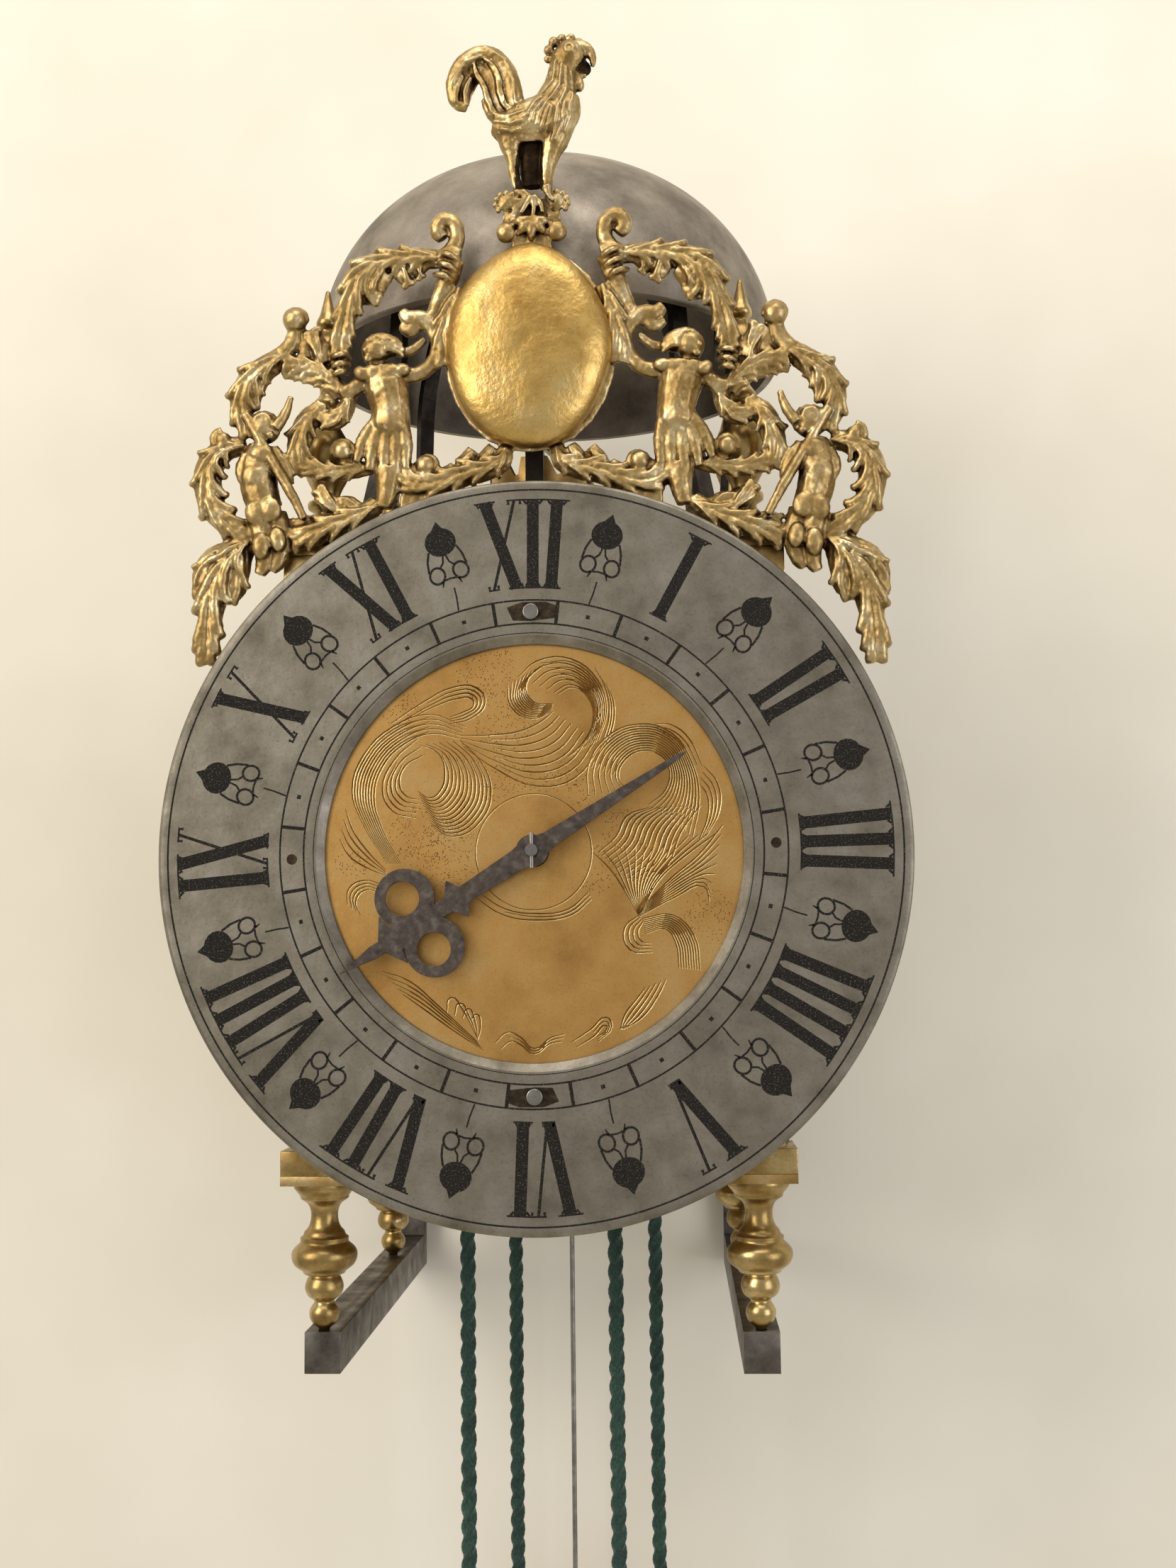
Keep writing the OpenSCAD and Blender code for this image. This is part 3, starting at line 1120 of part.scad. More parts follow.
bracket(-1);  // bracket_left
bracket(1);  // bracket_right
bottom_plate();
top_plate();
pillars();
foot(0);  // foot_front_left
foot(1);  // foot_front_right
foot(2);  // foot_rear_left
foot(3);  // foot_rear_right
finial(0);  // finial_front_left
finial(1);  // finial_front_right
finial(2);  // finial_rear_left
finial(3);  // finial_rear_right
dial_ring();
dial_centre();
dial_pins();
front_plate();
back_plate();
fret_side(-1);  // fret_left
fret_side(1);  // fret_right
fret_screws();
cartouche();
cockerel();
bell_stand();
bell();
bell_nut();
front_bar();
middle_bar();
rear_bar();
escapement_cocks();
hour_stud();
hand_pin();
hammer_spring();
rope_going_left();
rope_going_right();
rope_strike_left();
rope_strike_right();
weight_hooks();
rope_rings();
door(-1);  // left_door
door(1);  // right_door
great_wheel();
going_pulley();
second_wheel();
contrate_wheel();
crown_wheel();
hour_wheel();
hour_hand();
verge();
pendulum_bob();
strike_great_wheel();
strike_pulley();
hoop_wheel();
warning_wheel();
fly();
count_wheel();
hammer();
strike_detent();
lifting_lever();
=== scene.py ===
# %% [markdown]
# # A lantern clock, dressed for the camera
# The solids come from the CAD model. This file adds the photograph's camera, soft studio light,
# the finishes, and the cast, engraved and twisted pieces that CAD leaves plain.
# All places below are millimetres in the clock's own frame: X right, Y back to the wall, Z up.

# %% The frame and the tools
import json
import math
import random
import bmesh
import bpy
from mathutils import Matrix, Vector
from mathutils import noise as wander


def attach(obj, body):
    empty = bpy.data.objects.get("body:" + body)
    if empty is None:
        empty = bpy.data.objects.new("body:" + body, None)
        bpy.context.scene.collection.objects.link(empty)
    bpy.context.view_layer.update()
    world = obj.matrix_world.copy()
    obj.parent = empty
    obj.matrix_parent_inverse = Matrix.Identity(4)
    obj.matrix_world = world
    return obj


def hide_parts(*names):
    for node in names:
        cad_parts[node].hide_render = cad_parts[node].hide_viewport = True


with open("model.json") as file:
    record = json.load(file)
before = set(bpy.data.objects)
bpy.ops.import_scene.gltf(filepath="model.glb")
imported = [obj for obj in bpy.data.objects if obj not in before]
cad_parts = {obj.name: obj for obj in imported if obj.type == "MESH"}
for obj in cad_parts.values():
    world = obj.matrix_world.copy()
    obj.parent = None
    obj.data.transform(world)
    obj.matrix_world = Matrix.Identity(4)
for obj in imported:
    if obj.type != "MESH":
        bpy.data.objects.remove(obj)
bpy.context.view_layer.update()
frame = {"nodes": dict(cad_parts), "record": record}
nodes = frame["nodes"]
MM = 0.001
print("CAD nodes:", len(nodes))


def at(x, y, z):
    """A place in millimetres as a vector in metres."""
    return Vector((x, y, z)) * MM


# %% [markdown]
# ## The camera
# The photographer stood close, a little below the middle and to the right, and looked slightly up
# and left. A real camera is set by its place, its lens and three turns, so those five facts are
# kept as numbers and the matrix is built from them.

# %% Camera
CAMERA_AT = (42.5, -760.1, 72.5)
YAW, PITCH, ROLL = math.radians(2.6), math.radians(5.61), math.radians(-0.65)
ahead = Vector((-math.sin(YAW) * math.cos(PITCH), math.cos(YAW) * math.cos(PITCH), math.sin(PITCH)))
level = Vector((math.cos(YAW), math.sin(YAW), 0))
over = level.cross(ahead)
right = level * math.cos(ROLL) + over * math.sin(ROLL)
up = over * math.cos(ROLL) - level * math.sin(ROLL)
lens = bpy.data.cameras.new("photo_camera")
lens.sensor_fit = "HORIZONTAL"
lens.sensor_width = 36.0
lens.lens = 36.0 * 2436.8 / 1659
lens.clip_start = 0.01
camera = bpy.data.objects.new("photo_camera", lens)
turn = Matrix((right, up, -ahead)).transposed().to_4x4()
camera.matrix_world = Matrix.Translation(at(*CAMERA_AT)) @ turn
bpy.context.scene.collection.objects.link(camera)
bpy.context.scene.camera = camera
print("lens", round(lens.lens, 1), "mm")

# %% [markdown]
# ## Node helper and colours
# Every finish is a small network of shader nodes. One function adds a node with its settings and
# links, and one turns the hex colour of a paint card into the linear values that the shader wants.


# %% Material helpers
def colour(hexcode):
    """Linear RGBA of an sRGB hex colour."""
    def linear(c):
        return c / 12.92 if c <= 0.04045 else ((c + 0.055) / 1.055) ** 2.4
    return tuple(linear(int(hexcode[i:i + 2], 16) / 255) for i in (1, 3, 5)) + (1.0,)


def add(tree, kind, values=None, links=None, **settings):
    """Adds a node. values sets inputs, links joins inputs to (node, output) pairs."""
    node = tree.nodes.new(kind)
    for name, value in settings.items():
        setattr(node, name, value)
    for name, value in (values or {}).items():
        node.inputs[name].default_value = value
    for name, source in (links or {}).items():
        tree.links.new(source[0].outputs[source[1]], node.inputs[name])
    return node


def ramp(tree, source, stops):
    """A colour ramp through (place, colour) stops, driven by (node, output)."""
    node = add(tree, "ShaderNodeValToRGB", links={"Fac": source})
    edge = node.color_ramp.elements
    edge[0].position, edge[0].color = stops[0]
    edge[1].position, edge[1].color = stops[-1]
    for place, shade in stops[1:-1]:
        new = edge.new(place)
        new.color = shade
    return node


def grey(v):
    return (v, v, v, 1.0)


def start(name):
    """A new material with its shader, and object coordinates in millimetres."""
    material = bpy.data.materials.new(name)
    material.use_nodes = True
    tree = material.node_tree
    shader = tree.nodes["Principled BSDF"]
    place = add(tree, "ShaderNodeTexCoord")
    size = add(tree, "ShaderNodeVectorMath", {1: (1000, 1000, 1000)}, {0: (place, "Object")},
               operation="MULTIPLY")
    return material, tree, shader, (size, "Vector")


def noise(tree, vector, grain, detail=4.0, rough=0.55, distortion=0.0, links=None):
    """Noise whose main lumps are grain millimetres across."""
    return add(tree, "ShaderNodeTexNoise", {"Scale": 1.0 / grain, "Detail": detail, "Roughness": rough,
               "Distortion": distortion}, {"Vector": vector, **(links or {})})


def mix(tree, factor, a, b, blend="MIX"):
    """Mixes two colours; each of factor, a and b is a value or a (node, output) pair."""
    node = tree.nodes.new("ShaderNodeMix")
    node.data_type = "RGBA"
    node.blend_type = blend
    for name, value in (("Factor", factor), ("A", a), ("B", b)):
        socket = node.inputs[{"Factor": 0, "A": 6, "B": 7}[name]]
        if isinstance(value, tuple) and len(value) == 2:
            tree.links.new(value[0].outputs[value[1]], socket)
        else:
            socket.default_value = value
    return (node, 2)


def join(tree, shader, name, source):
    tree.links.new(source[0].outputs[source[1]], shader.inputs[name])


def bump(tree, shader, height, distance, strength=1.0, normal=None):
    """Adds a bump of the given height in millimetres."""
    links = {"Height": height}
    if normal:
        links["Normal"] = normal
    node = add(tree, "ShaderNodeBump", {"Strength": strength, "Distance": distance * MM}, links)
    join(tree, shader, "Normal", (node, "Normal"))
    return (node, "Normal")


# %% [markdown]
# ## Metals
# A clock of this age shows many metals that the eye tells apart. Each starts from a metallic
# shader with the metal's own colour, then gets what time and the file left on it: worn edges,
# small dents and a roughness that changes from place to place. The cast ones also get painted shade that darkens
# their recesses.


# %% Old brass and gilt brass
def old_metal(name, base, dark, light, rough, grain=14.0, dent=0.06, grime_and_shade=None, speck=0.7):
    """Cast or sheet metal: broad tarnish and fine specks; with grime_and_shade, painted shade darkens crevices
    and creases, and worn edges are lighter.
    """
    material, tree, shader, mm = start(name)
    broad = noise(tree, mm, grain, 5.0, 0.6)
    tone = ramp(tree, (broad, "Fac"), [(0.30, colour(dark)), (0.52, colour(base)), (0.74, colour(light))])
    fine = noise(tree, mm, speck, 3.0, 0.6)
    spots = ramp(tree, (fine, "Fac"), [(0.28, grey(0.55)), (0.46, grey(1.0))])
    shade = mix(tree, 0.55, (tone, "Color"), (spots, "Color"), "MULTIPLY")
    geometry = add(tree, "ShaderNodeNewGeometry")
    if grime_and_shade:
        # Painted shade: ambient occlusion darkens hollows towards the grime_and_shade colour, partly grime and
        # partly shade.
        hollow = add(tree, "ShaderNodeAmbientOcclusion", {"Distance": 4.5 * MM}, samples=6, only_local=True)
        deep = ramp(tree, (hollow, "AO"), [(0.56, grey(0.97)), (0.95, grey(0.0))])
        shade = mix(tree, (deep, "Color"), shade, colour(grime_and_shade))
        # Painted shade in creases: low pointiness darkens them the same way. High pointiness below lightens edges
        # as wear.
        crease_shade = ramp(tree, (geometry, "Pointiness"), [(0.43, grey(0.8)), (0.49, grey(0.0))])
        shade = mix(tree, (crease_shade, "Color"), shade, colour(grime_and_shade))
        rim = ramp(tree, (geometry, "Pointiness"), [(0.51, grey(0.0)), (0.60, grey(0.7))])
        shade = mix(tree, (rim, "Color"), shade, colour(light))
    join(tree, shader, "Base Color", shade)
    shader.inputs["Metallic"].default_value = 1.0
    gloss = ramp(tree, (broad, "Fac"), [(0.3, grey(rough + 0.10)), (0.7, grey(rough - 0.06))])
    join(tree, shader, "Roughness", (gloss, "Color"))
    lumps = noise(tree, mm, 2.2, 4.0, 0.55)
    bump(tree, shader, (lumps, "Fac"), dent)
    return material


# Rolled and turned brass, hand polished long ago: warm yellow with brown tarnish.
aged_brass = old_metal("aged_brass", "#a88b58", "#7a5e31", "#c9b182", 0.36)
# Cast brass with fire gilding left on the high places, and painted shade in the recesses: a near black reddish
# brown that is partly grime.
gilt_casting = old_metal("gilt_brass_casting", "#ab9160", "#82683a", "#dccaa0", 0.40, 7.0, 0.07, "#3d2511")
# The shield is one smooth casting: more even, with shallow dents and pits, and a lighter brown painted shade in
# its hollows.
gilt_shield = old_metal("gilt_brass_shield", "#c9a763", "#9c7a40", "#dfc48a", 0.36, 18.0, 0.26, "#7a5230")
# Wrought iron bars and sheets: near black scale, brown where it has worn.
wrought_iron = old_metal("wrought_iron", "#4a443f", "#2e2a27", "#6a625b", 0.48, 12.0, 0.10)
# Filed steel of arbors, screws and levers.
filed_steel = old_metal("filed_steel", "#8f8c87", "#6d6a66", "#b7b4ae", 0.30, 10.0, 0.03)
# Steel bars of the wall support, brushed on the ends and browned on top.
bar_steel = old_metal("bar_steel", "#6b6660", "#433e39", "#8f8a83", 0.38, 11.0, 0.08)
# Bell bronze with a dull grey brown skin.
bell_bronze = old_metal("bell_bronze", "#958c80", "#756d62", "#ada498", 0.52, 22.0, 0.09)
# The chapter ring is tin rich pewter with a mottled grey skin and a dull sheen.
pewter = old_metal("old_pewter", "#837d71", "#6a655a", "#99948a", 0.46, 13.0, 0.07)
# Turned brass keeps a slightly brighter surface than the cast parts.
lathe_brass = old_metal("turned_brass", "#a38a58", "#755b32", "#cbb585", 0.31, 12.0, 0.04)
# Painted shadow: a nearly black brass for the cockerel's open beak and the gap between its legs, where shade
# falls.
painted_shadow = old_metal("painted_shadow_brass", "#2e2318", "#1c140d", "#4a3a26", 0.6, 5.0, 0.05)
# Engraver's black: wax and lampblack in hatched cuts, so specks of metal show between.


def wax_in_cuts():
    material, tree, shader, mm = start("wax_filled_engraving")
    first = noise(tree, mm, 0.5, 3.0, 0.6)
    shade = ramp(tree, (first, "Fac"), [(0.33, colour("#5a5648")), (0.40, colour("#24211e")),
                                        (0.7, colour("#0f0e0d"))])
    join(tree, shader, "Base Color", (shade, "Color"))
    gloss = ramp(tree, (first, "Fac"), [(0.3, grey(0.6)), (0.5, grey(0.85))])
    join(tree, shader, "Roughness", (gloss, "Color"))
    shader.inputs["Specular IOR Level"].default_value = 0.15
    bump(tree, shader, (first, "Fac"), 0.05)
    return material


black_wax = wax_in_cuts()
# Grease round the rivets has stained the ring brown.
dark_stain = old_metal("stained_pewter", "#3d342a", "#2a231c", "#57503f", 0.5, 2.4, 0.03)
# Cuts in the brass centre are brown, partly tarnish and partly painted shade in the grooves; beside each cut a
# bright line is a painted highlight on the groove's lit wall.
cut_tarnish_and_shade = old_metal("cut_tarnish_and_shade_brass", "#6b4a22", "#4a3014", "#86622e", 0.55, 6.0, 0.02)
painted_edge_highlight = old_metal("painted_edge_highlight_brass", "#e6cd90", "#cda964", "#f4e5b8", 0.30, 5.0, 0.02)
# The centre disc is a redder brass than the castings, rubbed yellow in the middle of its scrolls.
centre_brass = old_metal("engraved_centre_brass", "#c4995b", "#9e7843", "#d8b478", 0.38, 26.0, 0.05)
# The hand's steel is blue brown, filed in one direction.
hand_steel = old_metal("hand_steel", "#5d5550", "#443d39", "#837a73", 0.42, 3.0, 0.05)
print("metals:", [m.name for m in bpy.data.materials if m.name.endswith(("brass", "iron", "steel",
                                                                         "bronze"))])

# %% [markdown]
# ## The rope
# A laid rope is three strands twisted together. A curve with a three-lobed cross-section gives
# that for free when each of its points is turned a little more than the last: Blender calls it
# tilt. The route is the one that the CAD model's ropes have.

# %% Rope finish and route
GREAT_Z, GOING_X, STRIKE_X = 73.892, -2.4, 9.2
ROPE_D, LAY = 5.5, 19.0


def rope_green():
    """Cotton rope dyed bottle green: matt, with short fibres that lighten the crowns."""
    material, tree, shader, mm = start("dyed_cotton_rope")
    broad = noise(tree, mm, 9.0, 3.0)
    tone = ramp(tree, (broad, "Fac"), [(0.3, colour("#16302a")), (0.7, colour("#27483c"))])
    stretch = add(tree, "ShaderNodeMapping", {"Scale": (1.0, 1.0, 0.35)}, {"Vector": mm})
    fibre = noise(tree, (stretch, "Vector"), 0.45, 3.0, 0.7)
    lift = ramp(tree, (fibre, "Fac"), [(0.42, grey(0.55)), (0.66, grey(1.7))])
    join(tree, shader, "Base Color", mix(tree, 1.0, (tone, "Color"), (lift, "Color"), "MULTIPLY"))
    shader.inputs["Roughness"].default_value = 0.85
    shader.inputs["Sheen Weight"].default_value = 0.35
    shader.inputs["Sheen Roughness"].default_value = 0.4
    bump(tree, shader, (fibre, "Fac"), 0.25)
    return material


cotton = rope_green()


def down(x, y, z_end, step=1.5):
    count = int((GREAT_Z - z_end) / step)
    return [(x, y, GREAT_Z + (z_end - GREAT_Z) * i / count) for i in range(count + 1)]


def over_pulley(x, y, r):
    return [(x + r * math.cos(math.radians(a)), y, GREAT_Z + r * math.sin(math.radians(a)))
            for a in range(180, 0, -5)]


# %% Twisted rope
def lobed_profile():
    """Cross-section of three strands, 30 points round."""
    inner, strand = ROPE_D / 2 * 0.536, ROPE_D / 2 * 0.464
    curve = bpy.data.curves.new("strand_profile", "CURVE")
    curve.dimensions = "2D"
    spline = curve.splines.new("POLY")
    spline.points.add(29)
    for i, point in enumerate(spline.points):
        a = math.radians(i * 12)
        off = (a + math.pi / 3) % (2 * math.pi / 3) - math.pi / 3
        reach = inner * math.cos(off) + math.sqrt(max(strand ** 2 - (inner * math.sin(off)) ** 2, 0))
        reach = max(reach, ROPE_D / 2 * 0.74)
        point.co = (reach * math.cos(a) * MM, reach * math.sin(a) * MM, 0, 1)
    spline.use_cyclic_u = True
    profile = bpy.data.objects.new("strand_profile", curve)
    bpy.context.scene.collection.objects.link(profile)
    return profile


profile = lobed_profile()


def as_mesh(obj):
    """Turns an object with curves or modifiers into a plain mesh object of the same name."""
    graph = bpy.context.evaluated_depsgraph_get()
    mesh = bpy.data.meshes.new_from_object(obj.evaluated_get(graph), depsgraph=graph)
    name, parents = obj.name, obj.data.name
    bpy.data.objects.remove(obj)
    plain = bpy.data.objects.new(name, mesh)
    bpy.context.scene.collection.objects.link(plain)
    return plain


def twisted_rope(name, route):
    curve = bpy.data.curves.new(name, "CURVE")
    curve.dimensions = "3D"
    curve.twist_mode = "MINIMUM"
    curve.bevel_mode = "OBJECT"
    curve.bevel_object = profile
    curve.use_fill_caps = True
    spline = curve.splines.new("POLY")
    spline.points.add(len(route) - 1)
    length = 0.0
    for i, place in enumerate(route):
        if i:
            length += (Vector(place) - Vector(route[i - 1])).length
        spline.points[i].co = (*at(*place), 1)
        spline.points[i].tilt = 2 * math.pi * length / LAY
    rope = bpy.data.objects.new(name, curve)
    bpy.context.scene.collection.objects.link(rope)
    rope = as_mesh(rope)
    rope.data.materials.clear()
    rope.data.materials.append(cotton)
    for face in rope.data.polygons:
        face.use_smooth = True
    return rope, length * MM


GOING_R, STRIKE_R, GOING_END, STRIKE_END = 25.2, 26.4, -142.0, -164.0
ropes = {
    "rope_going_left": down(GOING_X - GOING_R, -160, GOING_END),
    "rope_going_right": over_pulley(GOING_X, -160, GOING_R) + down(GOING_X + GOING_R, -160, GOING_END),
    "rope_strike_left": down(STRIKE_X - STRIKE_R, -92, STRIKE_END),
    "rope_strike_right": over_pulley(STRIKE_X, -92, STRIKE_R) + down(STRIKE_X + STRIKE_R, -92, STRIKE_END),
}


# %% [markdown]
# ## Hooks and rings on the ropes
# Each rope has a weight on one side and a small ring weight on the other, to keep the slack
# strand straight. They hang just below the picture. A torus is a circle spun round an axis.

# %% Hook and ring pieces
def new_object(name, bm, *materials, body="root", smooth=True, auto=None):
    """Makes a mesh object from a bmesh, with its normals outwards."""
    bmesh.ops.recalc_face_normals(bm, faces=bm.faces[:])
    mesh = bpy.data.meshes.new(name)
    bm.to_mesh(mesh)
    bm.free()
    for face in mesh.polygons:
        face.use_smooth = smooth
    if auto is not None:
        mesh.set_sharp_from_angle(angle=math.radians(auto))
    obj = bpy.data.objects.new(name, mesh)
    bpy.context.scene.collection.objects.link(obj)
    for material in materials:
        mesh.materials.append(material)
    if body:
        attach(obj, body)
    return obj


def lathe(bm, profile_points, centre, axis="Z", steps=48):
    """Spins (radius, height) points round an axis through centre, and joins the seam."""
    verts = [bm.verts.new(Vector((r, 0, h)) * MM) for r, h in profile_points]
    edges = [bm.edges.new(pair) for pair in zip(verts, verts[1:])]
    made = bmesh.ops.spin(bm, geom=verts + edges, cent=(0, 0, 0), axis=(0, 0, 1),
                          angle=2 * math.pi, steps=steps, use_merge=True, use_duplicate=False)
    grown = {v for v in verts}
    todo = list(verts)
    while todo:
        for edge in todo.pop().link_edges:
            for vert in edge.verts:
                if vert not in grown:
                    grown.add(vert)
                    todo.append(vert)
    grown = list(grown)
    if axis == "Y":
        bmesh.ops.rotate(bm, verts=grown, cent=(0, 0, 0), matrix=Matrix.Rotation(math.pi / 2, 3, "X"))
    if axis == "X":
        bmesh.ops.rotate(bm, verts=grown, cent=(0, 0, 0), matrix=Matrix.Rotation(math.pi / 2, 3, "Y"))
    bmesh.ops.translate(bm, verts=grown, vec=at(*centre))
    bmesh.ops.remove_doubles(bm, verts=grown, dist=1e-6)
    return made


def torus(bm, centre, r, thick, sweep=360.0, steps=40):
    """A ring in the upright plane, or part of one, by spinning a small circle round Y."""
    circle = bmesh.ops.create_circle(bm, cap_ends=sweep < 360, radius=thick * MM, segments=14,
                                     matrix=Matrix.Translation((r * MM, 0, 0)))
    verts = circle["verts"]
    edges = list({e for v in verts for e in v.link_edges})
    faces = list({f for v in verts for f in v.link_faces})
    before = set(bm.verts) - set(verts)
    bmesh.ops.spin(bm, geom=verts + edges + (faces if sweep < 360 else []), cent=(0, 0, 0), axis=(0, -1, 0),
                   angle=math.radians(sweep), steps=steps, use_merge=sweep >= 360)
    grown = [v for v in bm.verts if v not in before]
    bmesh.ops.translate(bm, verts=grown, vec=at(*centre))


def sleeve(bm, x, y, top, length, r):
    lathe(bm, [(0, 0), (r - 0.6, 0), (r, 0.6), (r, length - 0.8), (r - 0.8, length), (0, length)],
          (x, y, top - length), steps=32)


def hook(name, x, y, z):
    bm = bmesh.new()
    sleeve(bm, x, y, z, 7, 3.55)
    lathe(bm, [(0, 0), (1.3, 0), (1.3, 6), (0, 6)], (x, y, z - 12), steps=20)
    torus(bm, (x, y, z - 18), 6, 1.3, 290.0)
    return new_object(name, bm, wrought_iron, auto=40)


def ring_weight(name, x, y, z):
    bm = bmesh.new()
    sleeve(bm, x, y, z, 6, 3.55)
    torus(bm, (x, y, z - 14), 7, 2.2)
    return new_object(name, bm, bar_steel, auto=40)


ends = {
    "rope_going_left": ring_weight("going_ring", GOING_X - GOING_R, -160, GOING_END),
    "rope_going_right": hook("going_hook", GOING_X + GOING_R, -160, GOING_END),
    "rope_strike_left": hook("strike_hook", STRIKE_X - STRIKE_R, -92, STRIKE_END),
    "rope_strike_right": ring_weight("strike_ring", STRIKE_X + STRIKE_R, -92, STRIKE_END),
}
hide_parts("rope_rings")
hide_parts("rope_rings")
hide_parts("weight_hooks")
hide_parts("weight_hooks")
for name, route in ropes.items():
    rope, length = twisted_rope("laid_" + name, route)
    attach(rope, "root")
    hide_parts(name)
    print(name, round(length * 1000), "mm")
bpy.data.objects.remove(profile)

# %% [markdown]
# ## Cast ornament: the pierced fret
# The real fret was modelled in wax and cast, so every stem swells, tapers and melts into its
# neighbour. Here each stem is a Bezier curve with a width at each point. All the stems are
# gathered into one mesh, and a voxel remesh melts them together as the wax did. Leaves get
# raised ridges first, which the remesh keeps as soft flutes and lobes. The remesh makes small
# faces everywhere, so a Decimate modifier takes them away again where the casting is flat.

# %% Stems, veins and the melt
def swept(stems, flat=1.0, fine=5, sides=3):
    """A mesh of tubes along stems. Each stem is a list of (x, z, half width, y); flat squashes
    the tubes front to back about their own line."""
    curve = bpy.data.curves.new("stems", "CURVE")
    curve.dimensions = "3D"
    curve.twist_mode = "MINIMUM"
    curve.bevel_depth = MM
    curve.bevel_resolution = sides
    curve.resolution_u = fine
    curve.use_fill_caps = True
    for stem in stems:
        spline = curve.splines.new("BEZIER")
        spline.bezier_points.add(len(stem) - 1)
        for point, (x, z, w, y) in zip(spline.bezier_points, stem):
            point.co = at(x, y / flat, z)
            point.handle_left_type = point.handle_right_type = "AUTO"
            point.radius = w
    obj = bpy.data.objects.new("stems", curve)
    bpy.context.scene.collection.objects.link(obj)
    graph = bpy.context.evaluated_depsgraph_get()
    mesh = bpy.data.meshes.new_from_object(obj.evaluated_get(graph), depsgraph=graph)
    bpy.data.objects.remove(obj)
    mesh.transform(Matrix.Diagonal((1, flat, 1, 1)))
    return mesh


def acanthus(stem, flat):
    """The flutes of a leaf: long ridges that run beside the midrib, one overlapping the next, and
    flare out at last into the rounded lobes of the leaf's edge."""
    walked = [0.0]
    for a, b in zip(stem, stem[1:]):
        walked.append(walked[-1] + math.dist(a[:2], b[:2]))

    def point(s):
        s = min(max(s, 0.0), walked[-1] - 0.01)
        i = max(k for k in range(len(stem) - 1) if walked[k] <= s)
        return Vector(stem[i]).lerp(Vector(stem[i + 1]), (s - walked[i]) / (walked[i + 1] - walked[i]))

    made, s = [], 0.0
    while s < walked[-1] - 2.0:
        width = point(s)[2]
        for side in (-1, 1):
            rib, begin = [], s + max(side, 0) * 0.8 * width
            for out, on, thick, proud in ((0.10, 0.0, 0.16, 0.98), (0.24, 1.1, 0.25, 1.06),
                                          (0.42, 2.1, 0.30, 1.0),
                                          (0.72, 2.9, 0.34, 0.82), (1.08, 3.4, 0.33, 0.46),
                                          (1.26, 3.3, 0.2, 0.2)):
                x, z, wide, y = point(begin + on * width)
                here = min(begin + on * width, walked[-1])
                ahead = point(here + 1.5) - point(here - 1.5)
                aside = side * out * wide / math.hypot(ahead[0], ahead[1])
                rib.append((x - ahead[1] * aside, z + ahead[0] * aside, thick * width,
                            y - flat * wide * proud))
            made.append(rib)
        s += max(1.6 * width, 3.4)
    return made


def curl(cx, cz, r0, r1, start_at, turns, w0, w1, y):
    """A volute: a stem that winds inwards round (cx, cz)."""
    steps = int(abs(turns) * 8) + 1
    return [(cx + (r0 + (r1 - r0) * i / steps) * math.cos(start_at + 2 * math.pi * turns * i / steps),
             cz + (r0 + (r1 - r0) * i / steps) * math.sin(start_at + 2 * math.pi * turns * i / steps),
             w0 + (w1 - w0) * i / steps, y) for i in range(steps + 1)]


def egg(bm, place):
    """Adds a unit sphere turned, stretched and put in place by a matrix. It is made in a mesh of
    its own, because the operator slows down badly in a large one."""
    small = bmesh.new()
    bmesh.ops.create_uvsphere(small, u_segments=20, v_segments=12, radius=MM, matrix=place)
    mesh = bpy.data.meshes.new("egg")
    small.to_mesh(mesh)
    small.free()
    bm.from_mesh(mesh)
    bpy.data.meshes.remove(mesh)


def ball(bm, x, y, z, r, squash=1.0, tall=1.0):
    """A small sphere, flattened front to back by squash and stretched upright by tall."""
    egg(bm, Matrix.Translation(at(x, y, z)) @ Matrix.Diagonal((r, r * squash, r * tall, 1)))


def block(bm, low, high):
    size = Vector(high) - Vector(low)
    place = Matrix.Translation(at(*((Vector(low) + Vector(high)) / 2))) @ Matrix.Diagonal((*size, 1))
    bmesh.ops.create_cube(bm, size=MM, matrix=place)


def melt(name, bm, voxel, smooth=2):
    """Voxel remesh of everything in bm, then a light smoothing. Returns a bmesh."""
    mesh = bpy.data.meshes.new(name)
    bm.to_mesh(mesh)
    bm.free()
    obj = bpy.data.objects.new(name, mesh)
    bpy.context.scene.collection.objects.link(obj)
    remesh = obj.modifiers.new("melt", "REMESH")
    remesh.mode = "VOXEL"
    remesh.voxel_size = voxel * MM
    obj = as_mesh(obj)
    result = bmesh.new()
    result.from_mesh(obj.data)
    bpy.data.objects.remove(obj)
    for _ in range(smooth):
        bmesh.ops.smooth_vert(result, verts=result.verts, factor=0.5, use_axis_x=True, use_axis_y=True,
                              use_axis_z=True)
    return result



def roughen(bm, deep=0.16):
    """Moves the skin of a sand casting in and out by smooth noise, deep mm at most."""
    bm.normal_update()
    for v in bm.verts:
        place = v.co / MM
        v.co += v.normal * (deep * MM * (wander.noise(place / 1.7) + 0.5 * wander.noise(place / 0.8)))


# %% [markdown]
# ## What the fret shows
# One side has, from the middle outwards: a bud on a ringed stem, an acanthus arch, a figure with
# a raised arm and a leaf skirt, a second arch, a winged child with a staff, a ball on a stalk and
# a broad hanging leaf. Points are (x, height, half width) in millimetres.

